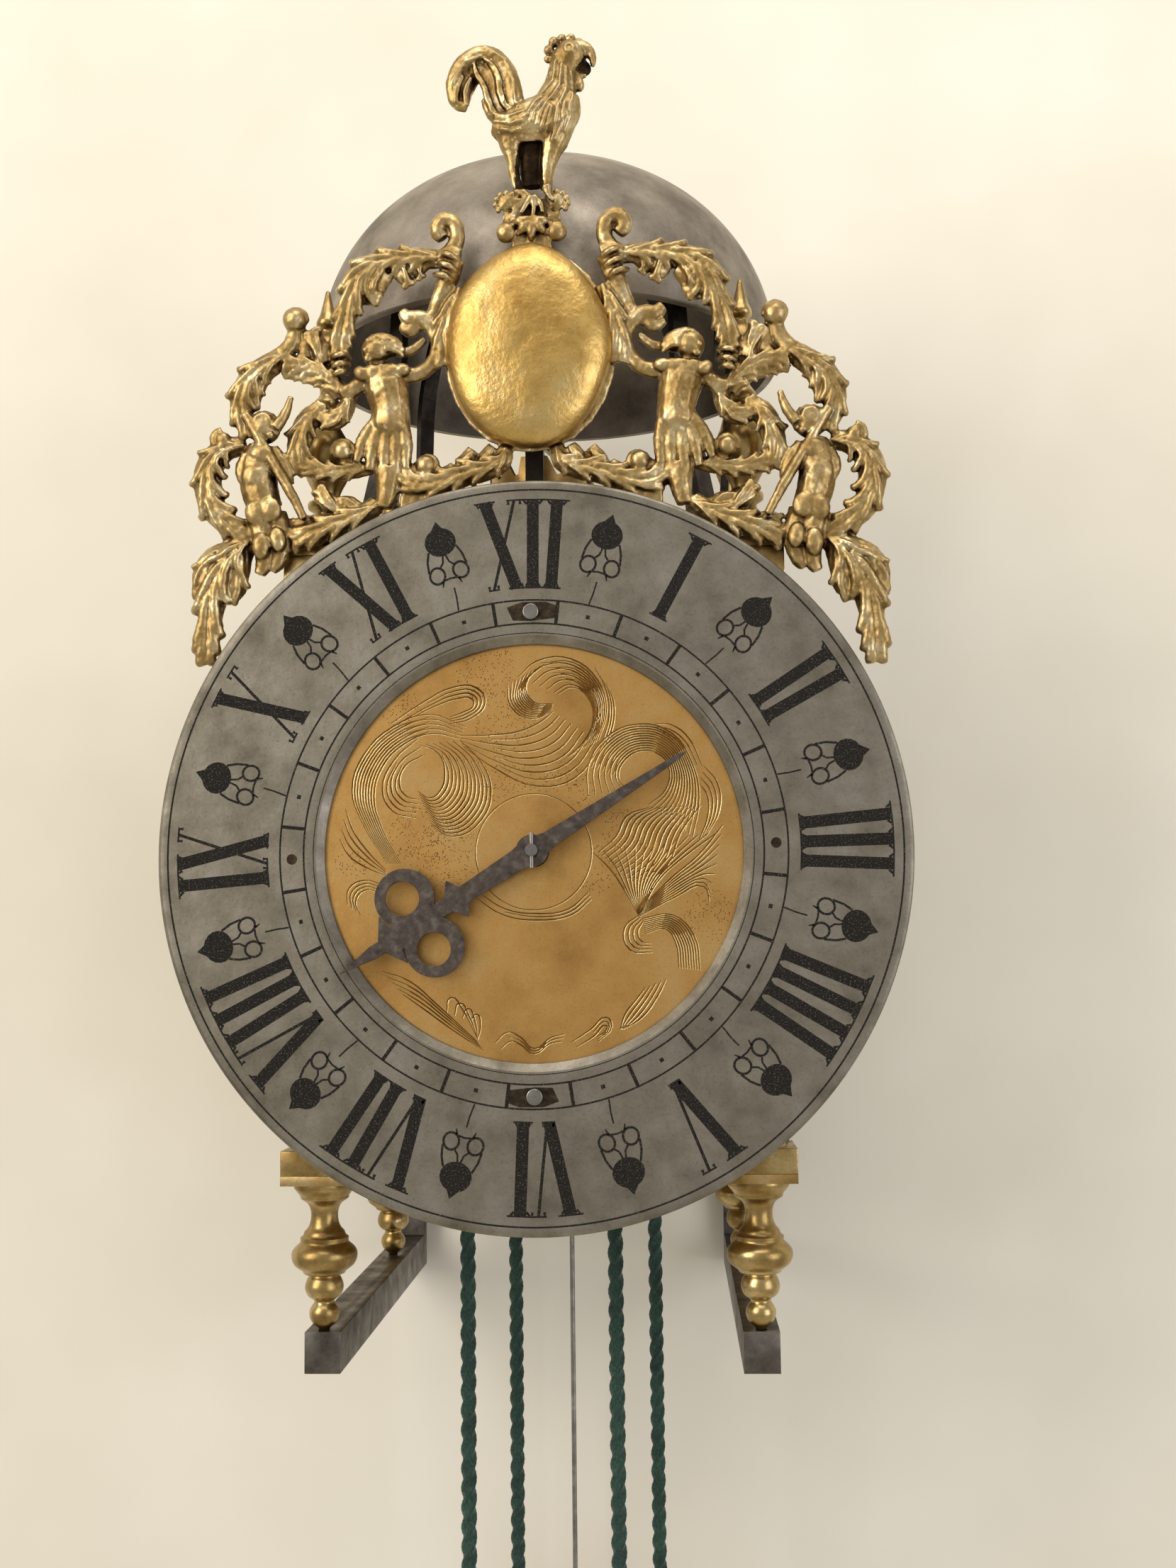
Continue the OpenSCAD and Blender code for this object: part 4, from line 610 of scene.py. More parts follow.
# %% Leaves and stems of one side
Y_LEAF = -208.9  # middle of the leaves, front to back
FRET_BACK = -207.04  # the flat back of the casting
DIAL_SIDE = -212.5  # the fret stays behind this where it crosses the dial
DIAL_REACH, DIAL_Z = 121.5, 105
leaves = [
    [(30, 302.5, 2.6), (38, 302.6, 3.2), (47, 301.6, 3.6), (54, 299.4, 4), (59, 294.6, 4.4),
     (61.5, 287.6, 3.4), (63.8, 280, 2.8), (65, 272, 2.3), (65, 265.6, 2.2)],
    [(44, 300, 3), (43.2, 296.4, 2.8), (41.6, 293.4, 1.4)],
    [(50, 298, 3.4), (54, 294, 4.4), (55.6, 289.8, 3.2), (52.4, 288.2, 1.5)],
    [(36.6, 301, 2.4), (38.4, 298, 2), (37.2, 296, 1)],
    [(24.4, 292, 3), (27.6, 284, 3.8), (29.4, 275, 3.8), (29.2, 266, 2.6)],
    [(8.5, 238, 2), (10, 233.6, 3), (15, 231, 3.4), (22, 229.6, 3.6), (30, 226.4, 3.6),
     (38, 225.2, 3.4), (43, 227.6, 2.8), (44.6, 231.6, 1.8)],
    [(12.6, 238, 2.2), (15.6, 234, 2.4), (18, 230, 1.4)],
    [(19.5, 237.2, 2), (22.4, 233.4, 2.4), (25, 229.4, 1.6)],
    [(26.2, 232.2, 1.4), (29.5, 229.6, 2), (33, 227, 1.6)],
    [(52.4, 219, 2.6), (58, 215.2, 3.4), (66, 212, 3.8), (74, 208.8, 3.6), (81, 205.6, 2.6)],
    [(64, 214, 2.6), (69, 219.4, 2.8), (72.6, 223.4, 1.6)],
    [(57.6, 216, 2), (62.6, 219.6, 2), (66.6, 218.8, 1.4)],
    [(72, 210, 2.4), (77.4, 212.6, 2.2), (80.8, 211.6, 1.4)],
    [(54, 231.4, 2), (60, 230.4, 2.4), (68, 229.4, 2.4), (76, 230.6, 2.6), (82, 233.4, 2.4)],
    [(72.4, 251, 2.4), (76, 247.6, 3.2), (78.8, 241, 3.6), (80, 234.6, 3), (79, 229.6, 1.8)],
    [(61.8, 256, 2), (63.2, 251.4, 2.6), (66.4, 247.2, 2.8), (71, 246.8, 2.2), (73.6, 249.6, 1.8),
     (71.8, 252.4, 1.3)],
    [(60, 254.6, 2.4), (65, 257.4, 2.6), (70, 262, 2.6), (76, 265, 2.4), (84, 265.6, 2.8)],
    [(66, 254.4, 1.4), (71, 259.2, 1.6), (78, 261.6, 1.6), (84, 262.6, 1.4)],
    [(71.6, 266, 2.6), (72.6, 271, 3.2), (75, 276.4, 2.2)],
    [(83, 269.4, 3), (90, 265.4, 3.4), (96, 260.8, 3.6), (99.2, 254, 3.4), (98.8, 247.4, 3),
     (96, 241.6, 2.6)],
    [(86.6, 264.6, 1.6), (91, 262, 2.2), (93.8, 257.2, 2.2), (95.4, 251, 1.6)],
    [(97.6, 238, 2.6), (104.6, 236.6, 3.4), (109.8, 231.4, 4), (110.6, 223, 4), (107.8, 215.4, 3.6),
     (101.4, 210, 3), (95.6, 206.4, 2.6)],
    [(95.4, 206, 3), (100.6, 202, 4.6), (105.4, 195.6, 5.2), (108.4, 188, 4.4), (109.6, 179, 3.4),
     (110, 171, 3.1), (110.2, 165, 2)],
    [(103, 203.6, 2.4), (109, 199.6, 3.2), (112.4, 193.6, 3), (112.2, 187, 1.8)],
    [(98, 203, 3), (100, 196, 3.4), (100.6, 189.8, 2.9), (102.2, 185.6, 1.4)],
]
plain = [  # round stems and how far they stand forward
    ([(26.4, 301, 3.4), (28, 295.6, 3.2), (30.6, 289.4, 2.5), (32.6, 284.6, 2.2), (34, 281.4, 2.4)], 0.5),
    ([(23.6, 302.8, 2.4), (27, 303.6, 2.9), (30.8, 302.4, 2.4)], 0.9),
    ([(28.4, 303.6, 2.4), (25.6, 307, 2.5), (24.9, 311.4, 2.4), (26.8, 315, 2.5), (30, 315.2, 2.6),
      (31.4, 311.8, 2.5), (29.4, 309.4, 2)], 0.6),
    ([(80.4, 278, 2.4), (82, 272.6, 2.6), (85.4, 268.6, 2.8)], 0.5),
    ([(77.6, 268, 2), (77.2, 273, 2), (78.4, 277, 1.6)], 0.3),
    ([(61.4, 231.4, 1.6), (62.4, 234.6, 2)], 0.4),
    ([(37, 226.4, 2.2), (39.6, 229.6, 2), (37.6, 232, 2)], 0.5),
]
figure = [
    ([(50.4, 264.4, 5.2), (49.4, 258.6, 6.2), (47.8, 250.6, 5.4), (47.8, 244.6, 5.6), (48, 240, 3)], 1.2),
    ([(53.2, 267.4, 2.4), (51.8, 263.6, 2.8)], 1.6),
    ([(44.4, 262.6, 2.5), (38.8, 262.6, 2.2), (33.6, 266.4, 2), (31.6, 272.6, 1.9), (33.8, 279, 1.9)], 1.4),
    ([(33.4, 278, 2), (37, 281.4, 2.5), (41.4, 281.6, 2.4), (44, 284, 1.5)], 1.4),
    ([(38, 280, 2), (41, 277.6, 2.1), (44.4, 279.4, 1.3)], 1.0),
    ([(36, 275, 1.2), (40, 271.6, 1.4), (45.4, 270, 1.4)], 0.2),
    ([(56, 261.4, 2.5), (60.4, 257.4, 2.3), (64.8, 256.2, 2.1)], 1.6),
    ([(48.6, 231, 4), (48.8, 224, 3.2), (50, 217.6, 2.2)], 0.8),
    ([(91.6, 237.6, 4), (93, 230.4, 5.2), (92.6, 223, 5.2), (90.6, 216.4, 4.8)], 1.2),
    ([(87.8, 214.6, 3.8), (85.2, 206, 3), (86.4, 198.4, 2.2), (88.4, 195.8, 1.4)], 1.0),
    ([(92, 214.4, 4), (91, 205, 3.2), (91, 197.4, 2.3), (92.4, 194.4, 1.6)], 1.7),
    ([(88.4, 236, 2.2), (84, 230.6, 2), (82.4, 224.6, 1.7)], 2.0),
    ([(96, 234, 2.4), (98.2, 228, 2.2), (95, 223.4, 1.7)], 2.2),
]
folds = [
    [(43.6, 246.4, 2), (42.4, 238.6, 2.2), (42.2, 230.6, 1.3)], [(46, 245.4, 2), (45.8, 237, 2.4),
      (46, 228.4, 1.3)],
    [(48.6, 245.2, 2), (49.6, 236.6, 2.5), (50, 227.6, 1.3)], [(51, 245.4, 2), (53.4, 237.6, 2.5),
      (54.8, 229.6, 1.3)],
    [(52.6, 246.4, 1.8), (57, 239.4, 2.2), (59.2, 232.4, 1.2)]]
staff = [[(97, 247.6, 1.2), (88.4, 233, 1.4), (81.4, 221.6, 1.4),
      (76.6, 212.6, 1.1)], [(81.2, 253.4, 0.8), (83.2, 247.6, 1.3), (86.6, 242.6, 1.6)]]
balls = [(80.6, 280.2, 3.8), (64, 236.2, 3.2), (35.6, 231.8, 3.2), (52.6, 270.2, 4.6),
      (47.4, 271.6, 3.4), (91, 243.4, 5), (105.2, 239.4, 2.4)]
bands = [((22.8, 300.2), (31, 304)), ((24, 297), (31.8, 300.4)), ((25.6, 293.8), (33, 296.8)),
         ((62, 268.6), (68, 267.4)), ((61.8, 265.6), (68, 264.2)), ((62, 262.8), (67.6, 261.4))]
hollows = [  # (centre x, z, half sizes, turn in degrees) of muscles and swellings on the bodies
    (47.4, 262.4, 3.2, 2.6, 10), (53.2, 262, 3.0, 2.6, -10), (50.2, 255.6, 3.4, 3.2, 0),
    (47.8, 250, 3.2, 3, 0),
    (57, 261.6, 2.7, 2.2, -30), (43.4, 263, 2.6, 2.1, 0), (91.4, 234.2, 3.6, 3.2, 0),
    (93.4, 226.6, 4, 4.4, 0),
    (88.4, 215.6, 3.6, 4.2, 20), (93, 214.8, 3.4, 4.2, -10), (91.2, 203.4, 2.7, 4.4, 0),
    (85.6, 205.6, 2.5, 4, 10)]

# %% Casting one side
FRET_VOXEL = 0.45
KEEP = 0.6  # share of the faces that is left after thinning

def cast_wing(narrow, rise):
    """One half of the fret. The two halves were bent a little differently when they were cast:
    narrow scales the width, rise lifts the outer part."""
    def bend(points, ahead=0.0):
        return [(x * narrow, z + rise * max(x - 30, 0), w, Y_LEAF - ahead) for x, z, w in points]

    def spot(x, z):
        return x * narrow, z + rise * max(x - 30, 0)

    bm = bmesh.new()
    flat = 0.7
    broad = [[(x, z, w * 1.2) for x, z, w in points] for points in leaves]
    leaf_stems = [bend(points) for points in broad]
    flutes = [rib for points in broad for rib in acanthus(bend(points), flat)]
    round_stems = [bend([(x, z, w * 1.15) for x, z, w in points], ahead) for points, ahead in plain]
    for x, z, r, begin, turns in ((34.6, 231.8, 3.4, -1.2, 1.3), (63.6, 236.4, 3.2, -0.4, 1.3),
                                  (81, 280.4, 3.6, 3.4, -1.2), (105.6, 239.2, 3, 1.6, -1.2)):
        round_stems += [curl(*spot(x, z), r, 0.9, begin, turns, 1.8, 1.3, Y_LEAF - 1.6)]
    ring_stems = []
    for a, b in bands:
        a, b = spot(*a), spot(*b)
        ring_stems.append([(*a, 0.9, Y_LEAF - 1.0), ((a[0] + b[0]) / 2, (a[1] + b[1]) / 2, 1.1, Y_LEAF - 4.4),
                           (*b, 0.9, Y_LEAF - 1.0)])
    staffs = [bend([(x, z, w * 1.3) for x, z, w in points], 4.6) for points in staff]
    bodies = [bend([(x, z, w * 1.22) for x, z, w in points], ahead) for points, ahead in figure]
    skirt = [bend([(x, z, w * 1.15) for x, z, w in points], 2.4) for points in folds]
    for mesh in (swept(leaf_stems, flat), swept(flutes), swept(round_stems, 0.85), swept(bodies, 0.8),
                 swept(ring_stems), swept(skirt, 0.9), swept(staffs)):
        bm.from_mesh(mesh)
        bpy.data.meshes.remove(mesh)
    for x, z, wide, tall, turn in hollows:
        x, z = spot(x, z)
        place = (Matrix.Translation(at(x, Y_LEAF - 4.6, z)) @ Matrix.Rotation(math.radians(turn), 4, "Y")
                 @ Matrix.Diagonal((wide * 1.1, 2.1, tall * 1.05, 1)))
        egg(bm, place)
    for x, z, r in balls:
        x, z = spot(x, z)
        ball(bm, x, Y_LEAF - 1.8, z, r * 1.06, 0.9)
    # hair: short locks swept back from the face, and curls round the child's head
    x, z = spot(52.6, 270.2)
    for k in range(7):
        a = math.radians(40 + 24 * k)
        lock = [(x + 3.2 * math.cos(a), z + 3.2 * math.sin(a), 1.2, -213.4),
                (x - 1.6 + 4.6 * math.cos(a), z + 4.4 * math.sin(a), 1.3, -212.4),
                (x - 4.4 + 5 * math.cos(a + 0.3), z - 0.6 + 4.6 * math.sin(a + 0.3), 0.9, -211.2)]
        bm.from_mesh(swept([lock]))
    ball(bm, x + 3.0, -213.9, z - 0.8, 1.0)
    ball(bm, x + 2.2, -213.2, z - 3.4, 1.5)
    x, z = spot(91, 243.4)
    for k in range(10):
        a = math.radians(-30 + 26 * k)
        ball(bm, x + 4.4 * math.cos(a), -211.8, z + 4.2 * math.sin(a), 1.6)
        ball(bm, x + 2.2 * math.cos(a + 0.2), -213.9, z + 1.2 + 2.2 * math.sin(a + 0.2), 1.3)
    ball(bm, x - 3.4, -213.6, z - 0.6, 0.9)
    ball(bm, x - 2.6, -213.4, z - 3.2, 1.4)
    # the plate behind the shield, and the lug that the screw goes through
    ball(bm, 0.4, -209, 270.6, 28.6, 0.066, 1.22)
    block(bm, (31, -211, 203), (43, -207.1, 222))
    cast = melt("fret", bm, FRET_VOXEL)
    roughen(cast)
    for v in cast.verts:
        x, y, z = v.co / MM
        y = min(y, FRET_BACK)
        if math.hypot(x, z - DIAL_Z) < DIAL_REACH:
            y = max(y, DIAL_SIDE)
        v.co.y = y * MM
        v.co.x = max(x, 0.02) * MM
    return cast


def cast_fret():
    for name, narrow, rise in (("fret_right", 1.0, 0.0), ("fret_left", 0.965, 0.04)):
        bm = cast_wing(narrow, rise)
        if name == "fret_left":
            bmesh.ops.scale(bm, vec=(-1, 1, 1), verts=bm.verts)
        print(name, "faces", len(bm.faces))
        piece = new_object("cast_" + name, bm, gilt_casting)
        thin = piece.modifiers.new("fewer faces where it is flat", "DECIMATE")
        thin.ratio = KEEP
        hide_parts(name)


cast_fret()

# %% [markdown]
# ## The cockerel on its perch
# The bird is the same kind of casting, seen from the side: a full body, a neck that rises to a
# head with comb and open beak, and a tail that arches back and curls down. After the melt, the
# chaser's work is added: every vertex near a stroke of plumage is lifted a little, so that the
# ridges hug the body. It stands on a small plate of leaves round a flower.

# %% Cockerel
Y_BIRD = -209.7
bird_body = [
    [(-11.2, 348.8, 4), (-6.5, 347.2, 6.4), (0, 348.4, 7.8), (6.6, 350, 8.6), (10.6, 352.4, 7.4),
     (12, 358, 5.4)],
    [(8.8, 353.6, 7.4), (11, 361, 5.6), (12.2, 366.5, 5.2), (13.6, 371, 5.8)],
    [(9.4, 348.4, 7), (9, 342.6, 4.9), (7.2, 336.6, 3.2), (6.2, 331, 2.3), (5.8, 325, 2.1)],
    [(-5.6, 346.4, 6), (-6, 342, 4.2), (-5.2, 336.4, 2.4), (-4.6, 330, 1.9), (-3.6, 326.1, 1.8),
     (-1.3, 323.5, 1.7), (1.1, 321.6, 1.7)]]
bird_tail = [  # (points, how far ahead)
    ([(-2.6, 350.6, 3), (-4.4, 356, 3.4), (-5.6, 361.5, 3.5), (-8.4, 368.4, 3.4), (-14.3, 372.4, 3.5),
      (-20.6, 370.2, 3.3), (-24.4, 365, 2.7), (-25.2, 359.6, 2.2), (-23.6, 355.6, 1.9),
      (-20.4, 354.2, 1.5)], 0),
    ([(-5, 350.6, 2.8), (-9, 354, 2.8), (-11.6, 359.5, 2.6), (-13.8, 364.5, 2.4), (-17.4, 367.8, 2.2)], -0.4),
    ([(-9.4, 349.6, 2.8), (-12.8, 353, 1.9), (-14.4, 357.4, 1.4)], -0.2),
    ([(-1.6, 351.8, 0.8), (-6.4, 352.6, 1.1), (-9, 357.6, 1.2), (-9.8, 363.2, 1.2), (-12.2, 368.2, 1),
      (-14.4, 370, 0.6)], 2.4),
    ([(-4, 350, 0.8), (-9.9, 350.2, 1.1), (-12.9, 355.3, 1.2), (-14.6, 360.9, 1.1), (-17, 365.3, 0.9),
      (-17.8, 369, 0.5)], 2.0),
    ([(-22.6, 356.6, 2.8), (-21, 363, 3.4), (-18, 367, 3)], -1.8),
    ([(-6.6, 352, 4), (-9.4, 358, 4.2), (-12, 365, 4.2), (-18, 368.4, 3.4)], -1.4),
    ([(-24, 355.6, 0.9), (-23.5, 360.6, 1.1), (-21.6, 365, 0.7)], 1.4),
    ([(-20.6, 354.6, 0.9), (-20.6, 359.9, 1.1), (-18.9, 364.4, 0.7)], 1.2)]
bird_head = [[(16, 374.2, 2.8), (19.4, 373.4, 2.3), (21.7, 370.4, 1.5), (21.8, 367, 0.7)],
             [(14.4, 367.4, 1.7), (16.2, 364.8, 1.6), (19.6, 364.2, 1)],
             [(16.4, 363.6, 1.5), (17.2, 360.6, 1.9), (16.8, 358.8, 1.1)]]
comb = [(6.8, 370.2, 1.3), (7.2, 373.4, 1.8), (8.8, 376.2, 1.8), (11.6, 377.4, 1.5), (14.6, 377.4, 1.5),
        (17.4, 376, 1.4)]
claws = [[(1.1, 321.6, 1.3), (-0.7, 318.8, 1), (-2.4, 315.9, 0.7)],
         [(1.4, 321.6, 1.3), (1.9, 318, 1), (1.6, 315.2, 0.7)],
         [(1.7, 321.6, 1.2), (4, 319.2, 1), (4.8, 316, 0.7)],
         [(6, 325, 1.6), (6.8, 322, 1.1), (8.4, 320, 0.7)]]
plumage = [  # (x, z) strokes that the chaser left on wing, neck, belly and tail
    [(0.1, 348.6), (2.5, 352.9), (4.9, 354.6)], [(3.6, 345.4), (4.3, 348.5), (6.7, 352.7)],
    [(1.6, 346.6), (2.6, 349.8), (5.2, 353)], [(6, 342.3), (7.2, 345.9), (8.4, 350.8)],
    [(4.6, 343.4), (6, 347.4), (7.6, 351.4)], [(9.5, 340.9), (11.9, 345.8), (12.6, 352.5)],
    [(8, 340.6), (9.6, 345.6), (10.6, 351.6)], [(12.6, 343.6), (14.4, 347.8), (14.6, 353.4)],
    [(9.4, 368), (8.6, 361), (4.6, 356)], [(11.4, 366.4), (11, 359), (7.6, 353.8)],
    [(13.2, 365), (13.2, 358), (11.2, 352.6)], [(15, 363.6), (15.4, 357), (14.6, 350.4)],
    [(-11.6, 350.6), (-6, 348.8), (-0.6, 350)], [(-11, 347.8), (-6, 346), (-1.6, 346.6)],
    [(-8.6, 344.8), (-5.2, 343.4), (-2.4, 344)], [(-3.2, 352), (-4.2, 357), (-4.4, 362), (-7.2, 369.4),
                                                  (-14, 374.2)],
    [(-7.4, 355), (-8, 361), (-10.8, 367.4), (-15.6, 370.8), (-21, 369), (-24.8, 363)]]


def raise_lines(bm, strokes, wide, tall):
    """Lifts the front of a casting along strokes, as a rounded ridge."""
    bm.normal_update()
    lines = [(*a, b[0] - a[0], b[1] - a[1]) for stroke in strokes for a, b in zip(stroke, stroke[1:])]
    for v in bm.verts:
        if v.normal.y > -0.1:
            continue
        x, z = v.co.x / MM, v.co.z / MM
        nearest = 9.0
        for ax, az, dx, dz in lines:
            t = min(max(((x - ax) * dx + (z - az) * dz) / (dx * dx + dz * dz), 0), 1)
            nearest = min(nearest, (x - ax - t * dx) ** 2 + (z - az - t * dz) ** 2)
        v.co.y -= tall * math.exp(-nearest / wide ** 2) * MM


def cast_bird():
    bm = bmesh.new()
    body = [[(x, z, w, Y_BIRD) for x, z, w in stem] for stem in bird_body]
    tail = [[(x, z, w, Y_BIRD - ahead) for x, z, w in stem] for stem, ahead in bird_tail]
    head = [[(x, z, w, Y_BIRD - 0.4) for x, z, w in stem] for stem in bird_head]
    toes = [[(x, z, w, -212.6) for x, z, w in stem] for stem in claws]
    web = [[(0.8, 344, 5, -207.6), (0.8, 336, 4.2, -207.2), (1.4, 327, 3.8, -207.4)]]
    # the perch: a lobe up and a lobe out on each side, and petals round the middle
    perch = []
    for s in (-1, 1):
        perch += [[(1 + s * 4.4, 321.6, 2, -209.4), (1 + s * 7.8, 321.2, 3.4, -209.6),
                   (1 + s * 10, 318.8, 2.4, -209.4)],
                  [(1 + s * 9.4, 316, 2, -209.4), (1 + s * 5, 315.2, 2.6, -209.8)],
                  [(1 + s * 3, 311, 2.8, -209.6), (1 + s * 7, 309, 2.8, -209.4)]]
    petals = [[(1, 314, 1.2, -212.2), (1 + 3.6 * math.cos(a), 313.4 + 3.6 * math.sin(a), 1.7, -212.4),
               (1 + 6.2 * math.cos(a), 313.4 + 6.2 * math.sin(a), 0.8, -211)]
              for a in (math.radians(k) for k in (-90, -140, -40, 180, 0))]
    for mesh in (swept(body, 0.8), swept(tail, 0.85), swept(head, 0.9), swept(toes), swept(web, 0.5),
                 swept(perch, 0.6), swept(petals, 0.9)):
        bm.from_mesh(mesh)
        bpy.data.meshes.remove(mesh)
    for x, z, r in comb:
        ball(bm, x, Y_BIRD - 0.3, z, r, 0.9)
    ball(bm, 14.2, Y_BIRD, 371, 5.5, 0.88)
    ball(bm, 18.4, -208.2, 367.4, 2.9, 0.5)
    for s, x in ((-1, -7.4), (1, 9.2)):
        ball(bm, x, -210.4, 310.4, 3.5, 0.75)
        for k in range(6):
            a = math.radians(60 + 32 * k)
            ball(bm, 1 + s * (8.2 - 3.9 * math.cos(a)), -210.4, 320.4 + 3.6 * math.sin(a), 1.0)
    block(bm, (-5.5, -210.9, 297), (7.5, -207.1, 322))
    cast = melt("bird", bm, 0.33)
    raise_lines(cast, plumage, 0.55, 0.55)
    roughen(cast, 0.14)
    ring = [(14.2 + 1.5 * math.cos(k * math.pi / 4), 371.9 + 1.5 * math.sin(k * math.pi / 4)) for k in range(9)]
    raise_lines(cast, [ring], 0.45, 0.5)
    for v in cast.verts:
        v.co.y = min(v.co.y, -205.5 * MM)
        if v.co.z < 306 * MM:
            v.co.y = max(v.co.y, -210.98 * MM)
    # Painted shadow: faces inside the open beak and between the legs take the second, nearly black material.
    for face in cast.faces:
        x, y, z = face.calc_center_median() / MM
        beak_shade = math.hypot(x - 18.6, z - 367.2) < 3.1 and y > -211.9
        shade_between_legs = abs(x - 1) < 5.4 and 325 < z < 344 and y > -211.2
        if beak_shade or shade_between_legs:
            face.material_index = 1
    print("cockerel faces", len(cast.faces))
    bird = new_object("cast_cockerel", cast, gilt_casting, painted_shadow)
    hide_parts("cockerel")


cast_bird()

# %% [markdown]
# ## The shield
# A plain domed oval, slightly pointed at the top, with a rolled rim and the dents of two
# centuries. A quarter outline is spun into a dome, stretched to the oval, and its skin is moved by
# smooth noise a few tenths of a millimetre deep.

# %% Shield
def cast_shield():
    bm = bmesh.new()
    outline = [(0, 9.0)]
    for k in range(1, 25):
        t = k / 24
        outline.append((34.5 * math.sin(t * math.pi / 2) ** 0.94, 9.0 * (1 - t ** 2.3) + 0.5))
    outline += [(34.3, 0.1), (33, 0.02), (0, 0.02)]
    lathe(bm, outline, (0, 0, 0), "Y", steps=120)
    for v in bm.verts:
        x, y, z = v.co / MM
        a = math.atan2(z, x)
        wide = 27.3 / 34.5 * (1 - 0.06 * max(math.sin(a), 0) - 0.05 * math.sin(a) ** 4)
        edge = math.hypot(x, z) / 34.5
        wave = 1 + 0.012 * math.sin(5 * a + 1) * edge
        x, z = x * wide * wave, z * wave
        dent = wander.noise(Vector((x, z, 3.1)) / 13) * 0.55 + wander.noise(Vector((x, z, 9.7)) / 4.5) * 0.16
        if y < -0.3:
            y += dent * (1 - edge ** 4)
        v.co = at(x - 0.4, y - 211.0, z + 271)
    shield = new_object("cast_shield", bm, gilt_shield, auto=50)
    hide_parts("cartouche")


cast_shield()

# %% [markdown]
# ## Turned work
# Feet and finials come off a lathe: balls, rings and coves in turn. Spinning the outline is
# exactly how the turner's tool works. Beads get more rings than CAD needs, so light rolls over
# them.

# %% Feet and finials
foot_rings = [(1.5, 0), (2.2, 1.2), (3.5, 2.2), (4.4, 3.6), (4.8, 5.2), (4.6, 6.8), (3.8, 8.1), (3.2, 9),
              (3.5, 9.8), (5, 10.8), (5.9, 12.2), (6.2, 13.8), (5.9, 15.4), (5.3, 16.8), (4.9, 17.4),
              (6.6, 18.1), (7, 18.8), (7.6, 19.3), (9.4, 20.6), (10.3, 22.2), (10.6, 23.8), (10.3, 25.3),
              (9.3, 26.6), (8, 27.7), (7.7, 28.4), (7.75, 29.5), (6.9, 30.1), (6.4, 31.4), (5.4, 32.4),
              (4.6, 34.2), (4.3, 36.4), (4.6, 38.6), (5.6, 40.4), (7.6, 41.7), (7.8, 42.3), (8, 42.9),
              (9.2, 44.4), (9.9, 45.4), (9.95, 46.9), (0, 47)]
finial_rings = [(0, 0), (9.4, 0.02), (9.45, 2.4), (8.6, 4), (6.8, 6.2), (5, 8.2), (4.1, 10.2), (4.3, 11.4),
                (6.2, 12.6), (6.4, 13.8), (6.2, 14.8), (4.2, 15.9), (4.2, 17.2), (5.3, 20), (6.7, 22.6),
                (7.7, 26), (8.1, 29.4), (8, 32.4), (7.2, 35.6), (5.6, 38.6), (4.2, 41), (3.2, 43),
                (2.8, 44.4),
                (4.3, 45.6), (4.9, 47.2), (4.6, 49), (3.6, 50.6), (2.7, 52), (2.6, 54), (3.3, 57),
                (4.5, 60.4),
                (5.4, 63.4), (5.7, 66), (5.4, 68.6), (4.4, 71.2), (3, 72.9), (2.3, 74.2), (2.6, 74.9),
                (3.7, 76), (3.85, 77.4), (3.3, 78.8), (2.7, 80), (2.1, 82.4), (1.3, 85.6), (0.7, 88.4),
                (0, 88.9)]


def turned(rings):
    """The outline with one extra, rounded step between each pair of rings."""
    fine = []
    for k in range(len(rings) - 1):
        before, a, b, after = rings[max(k - 1, 0)], rings[k], rings[k + 1], rings[min(k + 2, len(rings) - 1)]
        fine.append(a)
        if abs(a[1] - b[1]) > 0.5:
            r = 0.5625 * (a[0] + b[0]) - 0.0625 * (before[0] + after[0])
            h = 0.5625 * (a[1] + b[1]) - 0.0625 * (before[1] + after[1])
            fine.append((min(max(r, min(a[0], b[0]) - 0.12), max(a[0], b[0])), min(max(h, a[1]), b[1])))
    return fine + [rings[-1]]


for side, x in (("left", -70), ("right", 70)):
    for place, y in (("front", -195), ("rear", -55)):
        for kind, rings, z in (("foot", foot_rings, -47), ("finial", finial_rings, 209.5)):
            bm = bmesh.new()
            lathe(bm, [(0, 0)] * (rings[0][0] > 0) + turned(rings), (x, y, z), steps=64)
            piece = new_object(f"turned_{kind}_{place}_{side}", bm, lathe_brass, auto=48)
            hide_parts(f"{kind}_{place}_{side}")
print("turned pieces: 8")

# %% [markdown]
# ## Bell
# A thick bronze bell like a deep bowl, turned on the outside, open below. Two fine turned lines
# run round the skirt. Its wall is thicker at the lip, as a founder makes it.

# %% Bell and nut


def bowl(r, h, flat, first=0, last=44):
    """Superellipse outline of a bowl from the rim up."""
    points = []
    for k in range(first, last + 1):
        a = math.radians(90 * k / 44)
        points.append((max(r * max(math.cos(a), 0) ** (2 / 2.15), flat), h * math.sin(a) ** (2 / 2.15)))
    return points


def cast_bell():
    outer = bowl(86.95, 76.95, 3.3)
    grooved = []
    for r, h in outer:
        for line in (5.5, 7.5, 30.0):
            if abs(h - line) < 0.9:
                r -= 0.28
        grooved.append((r, h))
    grooved[0] = (86.6, 0.02)
    grooved.insert(1, (86.95, 0.5))
    inner = bowl(83.9, 73.4, 3.3)
    bm = bmesh.new()
    lathe(bm, grooved + inner[::-1] + [(84.6, 0.02), grooved[0]], (0, -118.7, 293), steps=180)
    bell = new_object("turned_bell", bm, bell_bronze, auto=30)
    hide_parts("bell")


cast_bell()

# %% [markdown]
# ## Dial
# The chapter ring is a pewter band with a bevelled edge inside and out. Its engraving was cut
# with a graver and filled with black wax. Here each cut is a flat shape a few hundredths of a
# millimetre thick, and its material carries specks of metal in the black. Numerals are built from strokes
# whose feet point to the centre, and serifs are cross strokes, as an engraver lays them out.

# %% Ring, and a board for engraved shapes
RING_Y, RING_Z = -216.0, 105.0


